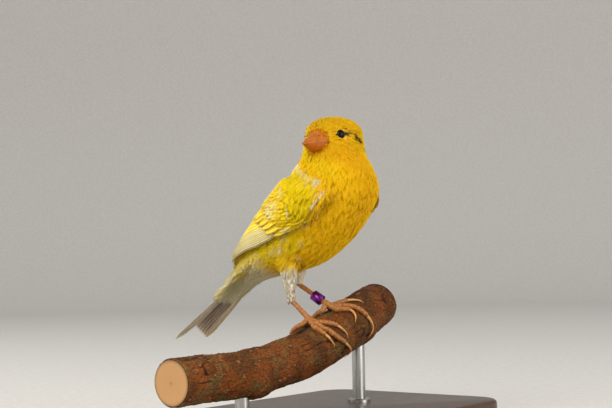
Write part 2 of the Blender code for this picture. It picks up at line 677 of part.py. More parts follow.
def leg_ring(start, joint):
    """The bare metal ring that the bird wears on its left leg."""
    ahead = unit(joint - start)
    middle = start + (joint - start) * RING_AT + np.array([0, 0, -RING_HANG])
    side = unit(np.cross(ahead, (1.0, 0, 0)))
    up = np.cross(ahead, side)
    turn = np.arange(RING_SIDES) * 2 * np.pi / RING_SIDES
    spoke = side * np.cos(turn)[:, None] + up * np.sin(turn)[:, None]
    half = RING_HEIGHT / 2
    rings = []
    for radius, at in ((RING_INNER, -half), (RING_OUTER, -half), (RING_OUTER, half), (RING_INNER, half)):
        rings.append(middle + ahead * at + spoke * radius)
    hoop("leg_ring", np.array(rings), "ring_purple")


# The perch and its stand


def rod_top(across):
    """The height at which a rod ends inside the perch."""
    return float(perch_point(across, 180.0)[2]) + ROD_SOCKET


def perch():
    """The branch, cut square at both ends, with a shallow socket for each rod."""
    across = np.linspace(PERCH_ROUTE[0][0], PERCH_ROUTE[-1][0], PERCH_RINGS)[:, None]
    around = -np.arange(PERCH_SIDES) * 360 / PERCH_SIDES
    made = loft("perch", perch_point(across, around), "perch_bark")
    sockets = [upright("socket", x, 0.0, rod_top(x) + GAP, ROD_RADIUS + GAP, "perch_bark") for x in RODS.values()]
    boolean(made, sockets, "DIFFERENCE")


def upright(name, across, low, high, radius, coat):
    """A round bar that stands under the perch."""
    back = float(perch_frame(across)[0][1])
    return tube(name, [(across, back, low), (across, back, high)], [radius, radius], coat, ROD_SIDES, up=(1.0, 0, 0))


def stand():
    """The flat base and the two rods let into it."""
    middle_x, middle_y = BASE_LENGTH / 2 - BASE_CORNER, BASE_WIDTH / 2 - BASE_CORNER
    rings = []
    for height, inset in ((0, 0.0), (BASE_HEIGHT - BASE_CHAMFER, 0.0), (BASE_HEIGHT, BASE_CHAMFER)):
        ring = []
        for corner, (x, y) in enumerate(((1, 1), (-1, 1), (-1, -1), (1, -1))):
            for turn in np.radians(np.linspace(0, 90, 7) + 90 * corner):
                reach = BASE_CORNER - inset
                ring.append((x * middle_x + np.cos(turn) * reach, y * middle_y + np.sin(turn) * reach, height))
        rings.append(ring)
    base = loft("stand_base", rings, "stand_wood")
    floor_of_socket = BASE_HEIGHT - ROD_SOCKET
    sockets = []
    for name, x in RODS.items():
        upright(name, x, floor_of_socket + GAP, rod_top(x), ROD_RADIUS, "stand_steel")
        sockets.append(upright("socket", x, floor_of_socket, BASE_HEIGHT + 5, ROD_RADIUS + GAP, "stand_wood"))
    boolean(base, sockets, "DIFFERENCE")


def main():
    """Clears the scene and builds every part."""
    for thing in list(bpy.data.objects):
        bpy.data.objects.remove(thing, do_unlink=True)
    body_length("rump", 0.0, RUMP_ENDS, 9, "yellow_feather")
    body_length("torso", RUMP_ENDS + GAP, TORSO_ENDS, 14, "yellow_feather")
    body_length("neck", TORSO_ENDS + GAP, NECK_ENDS, 5, "yellow_feather")
    head()
    bill()
    tail()
    for side in (LEFT, RIGHT):
        ball("eye_" + SIDE_NAMES[side], eye_centre(side), EYE_RADIUS, "eye_black", 14, 8)
        wing(side)
        leg(side)
    perch()
    stand()


if __name__ == "__main__":
    main()
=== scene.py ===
"""Looks of a life-size canary model: plumage, horn, skin, bark, wood and metal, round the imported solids.

Shapes are worked out in millimetres and turned to metres as each mesh is made. The bird faces -Y, its left
side is +X, +Z is up, and its head looks over its right side.
"""

import logging
import math
from dataclasses import dataclass, field
from enum import Enum
from typing import NamedTuple, Optional, Sequence

import bmesh
import bpy
import numpy as np
from mathutils import Matrix, Vector
from mathutils.bvhtree import BVHTree


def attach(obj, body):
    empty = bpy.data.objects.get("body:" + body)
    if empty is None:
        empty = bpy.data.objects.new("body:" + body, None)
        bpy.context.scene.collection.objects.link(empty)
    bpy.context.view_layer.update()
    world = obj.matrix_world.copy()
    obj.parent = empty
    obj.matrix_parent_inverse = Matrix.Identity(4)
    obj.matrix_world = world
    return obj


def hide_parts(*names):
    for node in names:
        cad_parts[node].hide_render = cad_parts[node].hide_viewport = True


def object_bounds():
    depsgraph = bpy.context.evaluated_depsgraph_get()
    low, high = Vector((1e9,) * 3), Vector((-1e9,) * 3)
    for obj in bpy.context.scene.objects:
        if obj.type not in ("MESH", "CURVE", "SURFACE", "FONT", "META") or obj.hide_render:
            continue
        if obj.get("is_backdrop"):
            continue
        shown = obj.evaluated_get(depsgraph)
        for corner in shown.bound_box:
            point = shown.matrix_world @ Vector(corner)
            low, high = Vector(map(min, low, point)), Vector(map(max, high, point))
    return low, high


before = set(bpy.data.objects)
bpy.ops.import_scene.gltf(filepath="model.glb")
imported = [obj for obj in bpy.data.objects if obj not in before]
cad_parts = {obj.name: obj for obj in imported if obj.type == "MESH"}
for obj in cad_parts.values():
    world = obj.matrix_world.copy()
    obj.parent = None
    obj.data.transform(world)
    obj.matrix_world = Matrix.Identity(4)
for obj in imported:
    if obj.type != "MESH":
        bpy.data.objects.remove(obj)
CAD_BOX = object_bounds()

Array = np.ndarray
MM = 0.001
UP = np.array([0.0, 0.0, 1.0])
LEFTWARD = np.array([1.0, 0.0, 0.0])
SEED = 11
PHOTO_WIDTH = 612
PATCH = 0.003  # how wide each tuft is on the map named OFBake
log = logging.getLogger("canary")


class Side(Enum):
    """The bird's own left and right."""

    LEFT = 1
    RIGHT = -1

    @property
    def word(self) -> str:
        """The side's name in the frame's node names."""
        return self.name.lower()


class Section(NamedTuple):
    """A cross-section of the body. The spine runs from the tail coverts up to the brow."""

    forward: float
    height: float
    pitch: float
    half_width: float
    back: float
    front: float
    turn: float


# Curves


def smooth(knots: Sequence[float], values: Array, at: Array) -> Array:
    """The smooth curve through values at the knots.

    Args:
        knots: Rising places where the values are known.
        values: One value or row of values for each knot.
        at: Places to read the curve at.

    Returns:
        The curve's values, with each slope set by the neighbouring knots.
    """
    knots, values, at = (np.asarray(a, float) for a in (knots, values, at))
    slopes = np.gradient(values, knots, axis=0)
    i = np.clip(np.searchsorted(knots, at) - 1, 0, len(knots) - 2)
    step = knots[i + 1] - knots[i]
    t = (at - knots[i]) / step
    if values.ndim > 1:
        step, t = step[..., None], t[..., None]
    rise = values[i] * (2 * t**3 - 3 * t**2 + 1) + values[i + 1] * (3 * t**2 - 2 * t**3)
    return rise + slopes[i] * step * (t**3 - 2 * t**2 + t) + slopes[i + 1] * step * (t**3 - t**2)


def through(points: Sequence, count: int) -> Array:
    """Evenly counted points of the smooth curve through the points.

    Args:
        points: The curve's own points.
        count: How many points are wanted.

    Returns:
        An array of that many points.
    """
    return smooth(np.arange(len(points)), points, np.linspace(0, len(points) - 1, count))


def straight(pairs: Sequence, at: Array) -> Array:
    """The straight-line curve through (place, value) pairs.

    Args:
        pairs: Pairs in any order of place.
        at: Places to read the curve at.

    Returns:
        The curve's values.
    """
    pairs = np.array(sorted(pairs))
    return np.interp(at, pairs[:, 0], pairs[:, 1])


def unit(vectors: Array) -> Array:
    """The vectors at length one."""
    vectors = np.asarray(vectors, float)
    return vectors / np.maximum(np.linalg.norm(vectors, axis=-1, keepdims=True), 1e-12)


def ease(at: Array, start: float, end: float) -> Array:
    """A soft step from 0 at start to 1 at end."""
    t = np.clip((np.asarray(at, float) - start) / (end - start), 0, 1)
    return t * t * (3 - 2 * t)


def between(at: Array, rise: tuple[float, float], fall: tuple[float, float]) -> Array:
    """A soft step up over one span and down again over another."""
    return ease(at, *rise) * (1 - ease(at, *fall))


def bell(at: Array, middle: float, width: float) -> Array:
    """A soft hump of height 1 round a middle."""
    return np.exp(-(((at - middle) / width) ** 2))


def wrapped(degrees: Array) -> Array:
    """Angles brought between -180 and 180."""
    return (np.asarray(degrees, float) + 180) % 360 - 180


def mix(first: Array, second: Array, share: Array) -> Array:
    """The first value turned towards the second by a share."""
    return first * (1 - share) + second * share


def fan(across: Array, upright: Array, count: int) -> tuple[Array, Array]:
    """Directions all round, evenly spaced.

    Args:
        across: The first direction.
        upright: The one a quarter turn on.
        count: How many are wanted.

    Returns:
        The directions and their angles.
    """
    turn = np.arange(count) * 2 * np.pi / count
    return across * np.cos(turn)[:, None] + upright * np.sin(turn)[:, None], turn


def value_noise(u: Array, v: Array, cells: tuple[int, int], seed: int) -> Array:
    """Soft random values over a surface that closes on itself in v.

    Args:
        u: Places along the surface, 0 to 1.
        v: Places round the surface, 0 to 1.
        cells: How many random values there are along and round it.
        seed: The draw's own seed.

    Returns:
        Values from -1 to 1.
    """
    grid = np.random.default_rng(seed).uniform(-1, 1, (cells[0] + 2, cells[1]))
    x, y = np.clip(u, 0, 1) * cells[0], (v % 1.0) * cells[1]
    i, j = x.astype(int), y.astype(int) % cells[1]
    after = (j + 1) % cells[1]
    round_it = ease(y - np.floor(y), 0, 1)
    low, high = (mix(grid[row, j], grid[row, after], round_it) for row in (i, i + 1))
    return mix(low, high, ease(x - i, 0, 1))


# Colours and finishes


def linear(colour: str) -> Array:
    """An sRGB hex colour as linear red, green and blue."""
    parts = [int(colour[i : i + 2], 16) / 255 for i in (1, 3, 5)]
    return np.array([p / 12.92 if p <= 0.04045 else ((p + 0.055) / 1.055) ** 2.4 for p in parts])


def add_node(
    tree: bpy.types.NodeTree, kind: str, inputs: Optional[dict] = None, **settings,
) -> bpy.types.Node:
    """Adds a node with its settings, values and links.

    Args:
        tree: The tree that it joins.
        kind: Blender's name for the type of node.
        inputs: Values or linked sockets by the input's name or number.
        **settings: The node's own properties.

    Returns:
        The new node.
    """
    node = tree.nodes.new(kind)
    for name, value in settings.items():
        setattr(node, name, value)
    for socket, value in (inputs or {}).items():
        if isinstance(value, bpy.types.NodeSocket):
            tree.links.new(value, node.inputs[socket])
        else:
            node.inputs[socket].default_value = value
    return node


class Layers(NamedTuple):
    """A pattern's layers of noise, and the part of their value that turns the first colour to the second."""

    noises: tuple  # the size of each in grains, and how much finer it is along each axis
    low: float
    high: float
    most: float = 1.0


class Pattern(Enum):
    """What a finish's surface shows close to. All but bark lie over the mesh's own tint."""

    BARBS = Layers(((1, (1, 1, 1)),), 0.3, 0.7, 0.3)
    MOTTLE = Layers(((1, (1, 1, 1)),), 0.35, 0.7)
    GRAIN = Layers(((1, (0.03, 1, 1)), (8, (0.12, 1, 1))), 0.15, 0.4)
    BRUSHED = Layers(((1, (1, 1, 0.02)),), 0.3, 0.7)
    BARK = Layers(((1, (0.45, 1, 1)), (9, (0.6, 1, 1))), 0.52, 0.68, 0.55)
    RINGS = Layers((), 0.0, 1.0)


@dataclass(frozen=True)
class Finish:
    """A real material, with the values that give its look. Sizes are in millimetres."""

    name: str
    colour: str
    accent: str
    pattern: Pattern
    roughness: float
    grain: float
    relief: float
    metallic: float = 0.0
    ior: float = 1.5
    specular: float = 0.5
    coat: float = 0.0
    subsurface: float = 0.0

    def material(self) -> bpy.types.Material:
        """The finish as a material, made once.

        Returns:
            The material, with its pattern on object coordinates or on the mesh's own tint and map.
        """
        found = bpy.data.materials.get(self.name)
        if found:
            return found
        made = bpy.data.materials.new(self.name)
        made.use_nodes = True
        tree = made.node_tree
        shader = tree.nodes["Principled BSDF"]
        for socket, value in {
            "Roughness": self.roughness, "Metallic": self.metallic, "IOR": self.ior, "Coat Weight": self.coat,
            "Coat Roughness": 0.06, "Subsurface Weight": self.subsurface, "Subsurface Scale": MM,
            "Subsurface Radius": (1.0, 0.85, 0.3), "Specular IOR Level": self.specular,
        }.items():
            shader.inputs[socket].default_value = value
        colour, height = self.layers(tree)
        tree.links.new(colour, shader.inputs["Base Color"])
        if self.relief:
            bump = add_node(tree, "ShaderNodeBump", {
                "Height": height, "Strength": 0.6, "Distance": self.relief * MM})
            tree.links.new(bump.outputs["Normal"], shader.inputs["Normal"])
        if self.pattern in (Pattern.BRUSHED, Pattern.GRAIN, Pattern.BARK):
            rough = add_node(tree, "ShaderNodeMapRange", {
                "Value": height, "To Min": self.roughness * 0.8, "To Max": min(1.0, self.roughness * 1.25)})
            tree.links.new(rough.outputs["Result"], shader.inputs["Roughness"])
        return made

    def layers(self, tree: bpy.types.NodeTree) -> tuple[bpy.types.NodeSocket, bpy.types.NodeSocket]:
        """The finish's colour and height.

        Args:
            tree: The material's tree.

        Returns:
            The sockets of the colour and of the height.
        """
        look = self.pattern.value
        place = add_node(tree, "ShaderNodeTexCoord").outputs["Object"]
        tint = add_node(tree, "ShaderNodeAttribute", attribute_name="tint").outputs["Color"]
        heights = []
        for grains, stretch in look.noises:
            mapped = add_node(tree, "ShaderNodeMapping", {"Vector": place, "Scale": stretch}).outputs[0]
            heights.append(add_node(tree, "ShaderNodeTexNoise", {
                "Vector": mapped, "Scale": 1 / (grains * self.grain * MM), "Detail": 4.0, "Roughness": 0.6,
            }).outputs["Fac"])
        if self.pattern is Pattern.RINGS:
            heights.append(add_node(tree, "ShaderNodeTexWave", {
                "Vector": add_node(tree, "ShaderNodeUVMap", uv_map="rings").outputs["UV"],
                "Scale": 1 / self.grain, "Distortion": 2.5, "Detail": 3.0, "Detail Scale": 0.6,
            }, wave_type="RINGS", rings_direction="SPHERICAL", wave_profile="SAW").outputs["Fac"])
        first, second = (*linear(self.colour), 1.0), (*linear(self.accent), 1.0)
        shown, over = heights[-1], tint
        if self.pattern is Pattern.GRAIN:
            both = {0: heights[1], 1: heights[0]}
            shown = add_node(tree, "ShaderNodeMath", both, operation="MULTIPLY").outputs[0]
        if self.pattern is Pattern.BARK:
            first = tint
            over = add_node(tree, "ShaderNodeMapRange", {
                "Value": heights[0], "From Min": 0.35, "From Max": 0.6, "To Min": 0.35, "To Max": 1.25,
            }).outputs["Result"]
        share = add_node(tree, "ShaderNodeMapRange", {
            "Value": shown, "From Min": look.low, "From Max": look.high, "To Max": look.most,
        }).outputs["Result"]
        own = add_node(tree, "ShaderNodeMix", {0: share, 6: first, 7: second}, data_type="RGBA").outputs[2]
        whole = {0: 1.0, 6: own, 7: over}
        shade = add_node(tree, "ShaderNodeMix", whole, data_type="RGBA", blend_type="MULTIPLY").outputs[2]
        return shade, heights[0]


# Body feathers: keratin barbs, dull and soft to the eye, with the yellow of the plumage's own tint.
BODY_FEATHER = Finish("body_feather_keratin", "#ffffff", "#dcae3a", Pattern.BARBS, 0.8, 0.5, 0.0,
                      specular=0.05, subsurface=0.35)
# Tail feathers: thin keratin that lets light through.
TAIL_FEATHER = Finish("tail_feather_keratin", "#ffffff", "#eadccb", Pattern.BARBS, 0.6, 0.6, 0.0,
                      specular=0.2, subsurface=0.3)
# Wing feathers: firmer keratin with a low, silky gloss.
FLIGHT_FEATHER = Finish("flight_feather_keratin", "#ffffff", "#d8c070", Pattern.BARBS, 0.6, 0.6, 0.0,
                        specular=0.2)
# Skin under the coat: dull, with short down, seen only where feathers part.
DOWN_SKIN = Finish("down_covered_skin", "#ffffff", "#b0803a", Pattern.BARBS, 0.9, 0.8, 0.05)
# Bill: smooth keratin over bone, with a waxy gloss and brown clouds in it.
BILL_HORN = Finish("bill_keratin", "#b26614", "#8e4c0a", Pattern.MOTTLE, 0.45, 2.2, 0.03, specular=0.2)
# Claws: harder, clearer keratin with a sharper gloss.
CLAW_HORN = Finish("claw_keratin", "#dba561", "#b77a35", Pattern.MOTTLE, 0.35, 1.2, 0.02)
# Legs: dry scaled skin, orange where the blood shows.
LEG_SKIN = Finish("scaled_leg_skin", "#b07230", "#7a4418", Pattern.MOTTLE, 0.5, 0.7, 0.05, subsurface=0.05)
# Eyeball: a wet cornea over a dark iris, black with one small light in it.
EYE_GLAZE = Finish("wet_cornea", "#ffffff", "#ffffff", Pattern.BARBS, 0.12, 1.0, 0.0, ior=1.38, specular=0.3)
# Leg ring: anodised aluminium, a dyed metal with a satin gloss.
ANODISED = Finish("anodised_aluminium", "#7c3488", "#5c2070", Pattern.BRUSHED, 0.3, 0.25, 0.02, metallic=1.0)
# Bark: dry cork and cracked bast, quite matt, with green-grey lichen in spots.
BARK = Finish("dry_bark", "#ffffff", "#554f30", Pattern.BARK, 0.85, 0.55, 0.25, specular=0.2)
# Sawn end grain of the same branch, pale and matt. Its growth rings are drawn wider than real ones, to show.
END_GRAIN = Finish("sawn_end_grain", "#c49a66", "#99693c", Pattern.RINGS, 0.75, 1.1, 0.06)
# Stand base: stained oak, dark along its grain, under a satin varnish.
STAINED_WOOD = Finish("stained_oak", "#4a2c1b", "#2a170e", Pattern.GRAIN, 0.42, 0.5, 0.03, coat=0.25)
# Rods: brushed stainless steel, with fine lines along them.
STEEL = Finish("brushed_steel", "#c4c4c2", "#9a9a99", Pattern.BRUSHED, 0.3, 0.2, 0.01, metallic=1.0)
# Floor: a sheet of matt pale paper.
PAPER = Finish("matt_paper", "#d9d6d1", "#cfccc7", Pattern.MOTTLE, 0.95, 4.0, 0.01)


# Meshes


def mesh_object(
    name: str, points: Array, faces: Sequence[Array], finish: Finish, tint: Optional[Array] = None,
    maps: Optional[dict] = None,
) -> bpy.types.Object:
    """A mesh object at the origin, from points in millimetres.

    Args:
        name: The piece's name.
        points: Its points, in millimetres.
        faces: Arrays of point numbers, one row for each face.
        finish: What it is made of.
        tint: A linear colour for each point, white where it is left out.
        maps: UV maps by name, with a place for each point.

    Returns:
        The new object.
    """
    points = np.asarray(points, float).reshape(-1, 3)
    sizes = np.concatenate([np.full(len(f), f.shape[1], np.int32) for f in faces])
    corners = np.concatenate([np.asarray(f).ravel() for f in faces]).astype(np.int32)
    mesh = bpy.data.meshes.new(name)
    mesh.vertices.add(len(points))
    mesh.vertices.foreach_set("co", (points * MM).astype(np.float32).ravel())
    mesh.loops.add(len(corners))
    mesh.loops.foreach_set("vertex_index", corners)
    mesh.polygons.add(len(sizes))
    mesh.polygons.foreach_set("loop_start", (np.cumsum(sizes) - sizes).astype(np.int32))
    mesh.update(calc_edges=True)
    colours = np.ones((len(points), 4))
    if tint is not None:
        colours[:, :3] = np.asarray(tint).reshape(-1, 3)
    mesh.color_attributes.new("tint", "FLOAT_COLOR", "POINT").data.foreach_set("color", colours.ravel())
    for title, places in (maps or {}).items():
        layer = mesh.uv_layers.new(name=title)
        layer.data.foreach_set("uv", np.asarray(places).reshape(-1, 2)[corners].ravel())
    mesh.materials.append(finish.material())
    made = bpy.data.objects.new(name, mesh)
    bpy.context.scene.collection.objects.link(made)
    return made


def outward(piece: bpy.types.Object) -> None:
    """Turns a closed piece's faces to point out."""
    work = bmesh.new()
    work.from_mesh(piece.data)
    bmesh.ops.recalc_face_normals(work, faces=work.faces[:])
    work.to_mesh(piece.data)
    work.free()


def place(piece: bpy.types.Object, slot: str, *nodes: str) -> None:
    """Ties a finished piece to the frame.

    Args:
        piece: The piece, in place.
        slot: The record's name for its finish; it is not used.
        *nodes: The frame's nodes that it stands for.
    """
    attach(piece, "root")
    if nodes:
        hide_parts(*nodes)
    log.info("%s: %d faces", piece.name, len(piece.data.polygons))


def closed_piece(
    name: str, shape: tuple[Array, list[Array]], finish: Finish, slot: str, nodes: Sequence[str] = (),
    tint: Optional[Array] = None, maps: Optional[dict] = None, sharp: Optional[float] = None,
) -> None:
    """Makes a closed piece and ties it to the frame.

    Args:
        name: The piece's name.
        shape: Its points and faces.
        finish: What it is made of.
        slot: The record's name for its finish.
        nodes: The frame's nodes that it stands for.
        tint: A linear colour for each point.
        maps: UV maps by name.
        sharp: The angle in degrees past which an edge is shaded sharp.
    """
    piece = mesh_object(name, *shape, finish, tint, maps)
    outward(piece)
    if sharp:
        piece.data.set_sharp_from_angle(angle=math.radians(sharp))
    place(piece, slot, *nodes)


def tube_faces(rings: int, sides: int) -> list[Array]:
    """The faces of a closed tube whose rings turn anticlockwise seen from ahead, with a point at each end.

    Args:
        rings: How many rings it has.
        sides: Points in each ring.

    Returns:
        Its quads and the triangles of its ends, whose middle points come after the rings.
    """
    k, j = np.meshgrid(np.arange(rings - 1), np.arange(sides), indexing="ij")
    after = (j + 1) % sides
    quads = np.stack([k * sides + j, k * sides + after, (k + 1) * sides + after, (k + 1) * sides + j], -1)
    i = np.arange(sides)
    last = (rings - 1) * sides
    first_end = np.stack([(i + 1) % sides, i, np.full(sides, rings * sides)], -1)
    last_end = np.stack([last + i, last + (i + 1) % sides, np.full(sides, rings * sides + 1)], -1)
    return [quads.reshape(-1, 4), first_end, last_end]


def tube(rings: Array) -> tuple[Array, list[Array]]:
    """A closed tube's points, with the middle of each end last, and its faces."""
    points = np.concatenate([rings.reshape(-1, 3), [rings[0].mean(0)], [rings[-1].mean(0)]])
    return points, tube_faces(*rings.shape[:2])


def ring_tint(shade: Array, sides: int, ends: Sequence[float] = (1.0, 1.0)) -> Array:
    """A grey tint for a closed tube's points, from one shade for each ring and one for each end."""
    return np.concatenate([np.repeat(shade, sides), ends])[:, None] * np.ones(3)


def loop(rings: Array) -> tuple[Array, list[Array]]:
    """The points and faces of a tube that closes on itself, whose last ring meets its first."""
    count, sides = rings.shape[:2]
    k, j = np.meshgrid(np.arange(count), np.arange(sides), indexing="ij")
    ahead, after = (k + 1) % count * sides, (j + 1) % sides
    return rings, [np.stack([k * sides + j, ahead + j, ahead + after, k * sides + after], -1).reshape(-1, 4)]


def tube_rings(path: Array, radii: Array, sides: int, up: Sequence[float] = (0, 0, 1.0)) -> Array:
    """Rings round a path.

    Args:
        path: The tube's centre line.
        radii: Its radius at each point, or one for each side of each ring.
        sides: Points in each ring.
        up: A direction that the path never follows.

    Returns:
        The rings' points.
    """
    path, radii = np.asarray(path, float), np.asarray(radii, float)
    ahead = unit(np.gradient(path, axis=0))
    across = unit(np.cross(np.broadcast_to(up, ahead.shape), ahead))
    upright = np.cross(ahead, across)
    turn = (np.arange(sides) * 2 * np.pi / sides)[:, None]
    ring = across[:, None] * np.cos(turn) + upright[:, None] * np.sin(turn)
    reach = radii[:, None, None] if radii.ndim == 1 else radii[..., None]
    return path[:, None] + ring * reach


def joined(parts: list[tuple[Array, list[Array], Array]]) -> tuple[Array, list[Array], Array]:
    """Several shapes as one.

    Args:
        parts: Points, faces and tints of each.

    Returns:
        All their points, faces and tints.
    """
    points, faces, tints, start = [], [], [], 0
    for own_points, own_faces, own_tint in parts:
        own_points = own_points.reshape(-1, 3)
        faces += [f + start for f in own_faces]
        points.append(own_points)
        tints.append(np.broadcast_to(own_tint, own_points.shape))
        start += len(own_points)
    return np.concatenate(points), faces, np.concatenate(tints)


# The body's own shape


@dataclass
class Trunk:
    """The bird's body without its coat, wings and legs, as places along and round its spine."""

    sections: tuple = (
        Section(-40.5, 54.0, 40, 6.4, 2.0, 2.6, 0),
        Section(-32.0, 60.0, 39, 8.8, 4.4, 5.0, 0),
        Section(-22.0, 65.8, 42, 12.6, 8.4, 9.6, 0),
        Section(-11.5, 71.0, 49, 15.8, 13.0, 13.6, 0),
        Section(-2.5, 77.4, 54, 17.3, 15.4, 14.8, 0),
        Section(4.5, 85.5, 64, 17.2, 15.6, 16.2, 0),
        Section(7.5, 93.0, 78, 16.5, 13.6, 17.0, 12),
        Section(8.0, 98.0, 88, 13.7, 12.8, 14.4, 48),
        Section(8.0, 102.0, 90, 11.4, 12.8, 12.6, 78),
        Section(8.0, 105.6, 90, 10.5, 12.9, 12.4, 86),
        Section(8.0, 109.6, 90, 9.8, 12.4, 11.6, 86),
    )
    crown_rise: float = 6.2
    crown_length: float = 9.0
    throat_at: float = 67.0
    bill_height: float = 106.0
    bill_root: float = 9.0
    eye_height: float = 108.6
    eye_around: float = 52.0
    tail_pitch: float = 35.0
    table: Array = field(init=False)
    stations: Array = field(init=False)
    brow_at: float = field(init=False)
    crown_at: float = field(init=False)

    def __post_init__(self) -> None:
        """Works out where along the spine each section lies."""
        self.table = np.array(self.sections, float)
        steps = np.linalg.norm(np.diff(self.table[:, :2], axis=0), axis=1)
        self.stations = np.concatenate([[0.0], np.cumsum(steps)])
        self.brow_at = float(self.stations[-1])
        self.crown_at = self.brow_at + self.crown_length

    def along_at(self, height: float) -> float:
        """Where along the spine the head's sections reach a height."""
        along = np.linspace(self.throat_at, self.brow_at, 200)
        return float(np.interp(height, smooth(self.stations, self.table[:, 1], along), along))

    def spine(self, along: Array) -> tuple[Array, ...]:
        """The spine at each place along it.

        Args:
            along: Places in millimetres from the tail coverts.

        Returns:
            Centre, climb, left and back directions, and the section's half width, back and front reach.
        """
        along = np.asarray(along, float)
        over = np.clip((along - self.brow_at) / self.crown_length, 0, 1) * np.pi / 2
        section = smooth(self.stations, self.table, np.minimum(along, self.brow_at))
        forward, height, pitch, *reach, turn = np.moveaxis(section, -1, 0)
        pitch, turn = np.radians(pitch), np.radians(turn)[..., None]
        none = np.zeros_like(pitch)
        centre = np.stack([none, -forward, height + self.crown_rise * np.sin(over)], -1)
        climb = np.stack([none, -np.cos(pitch), np.sin(pitch)], -1)
        straight_back = np.stack([none, np.sin(pitch), np.cos(pitch)], -1)
        straight_left = np.zeros_like(climb)
        straight_left[..., 0] = 1.0
        left = straight_left * np.cos(turn) - straight_back * np.sin(turn)
        back = straight_back * np.cos(turn) + straight_left * np.sin(turn)
        return centre, climb, left, back, np.array(reach) * np.cos(over) ** 0.9

    def flat(self, along: Array, around: Array) -> Array:
        """A place on the surface itself."""
        centre, _, left, back, (half_width, reach_back, reach_front) = self.spine(along)
        turn = np.radians(around)
        depth = -np.cos(turn) * np.where(np.cos(turn) > 0, reach_front, reach_back)
        return centre + left * (half_width * np.sin(turn))[..., None] + back * depth[..., None]

    def point(self, along: Array, around: Array, lift: Array = 0.0) -> Array:
        """A place on the surface, raised.

        Args:
            along: Places along the spine.
            around: Angles round it, 0 at the front, 90 at the left and 180 at the back.
            lift: How far the place is raised off the surface.

        Returns:
            The points.
        """
        along, around, lift = np.broadcast_arrays(*(np.asarray(a, float) for a in (along, around, lift)))
        round_it = self.flat(along, around + 0.5) - self.flat(along, around - 0.5)
        up_it = self.flat(along + 0.05, around) - self.flat(along - 0.05, around)
        return self.flat(along, around) + unit(np.cross(round_it, up_it)) * lift[..., None]

    def normal(self, along: Array, around: Array) -> Array:
        """The outward direction of the surface."""
        return unit(self.point(along, around, 1.0) - self.point(along, around))

    def bill_base(self) -> Array:
        """The middle of the bill's root."""
        centre, _, back = self.bill_section()
        return centre - back * self.bill_root

    def bill_section(self) -> tuple[Array, Array, Array]:
        """The spine at the bill's height, with the directions to its left and back."""
        centre, _, left, back, _ = self.spine(np.array(self.along_at(self.bill_height)))
        return centre, left, back

    def eye(self, side: Side) -> tuple[Array, Array]:
        """An eye's place along the spine and angle round it."""
        return np.array(self.along_at(self.eye_height)), np.array(side.value * self.eye_around)

    def tail_frame(self) -> tuple[Array, Array, Array]:
        """The tail's root, the way it runs and the way its upper side faces."""
        pitch = np.radians(self.tail_pitch)
        start = mix(*(self.flat(np.array(0.0), np.array(around)) for around in (0.0, 180.0)), 0.5)
        run = np.array([0, np.cos(pitch), -np.sin(pitch)])
        return start, run, np.array([0, np.sin(pitch), np.cos(pitch)])


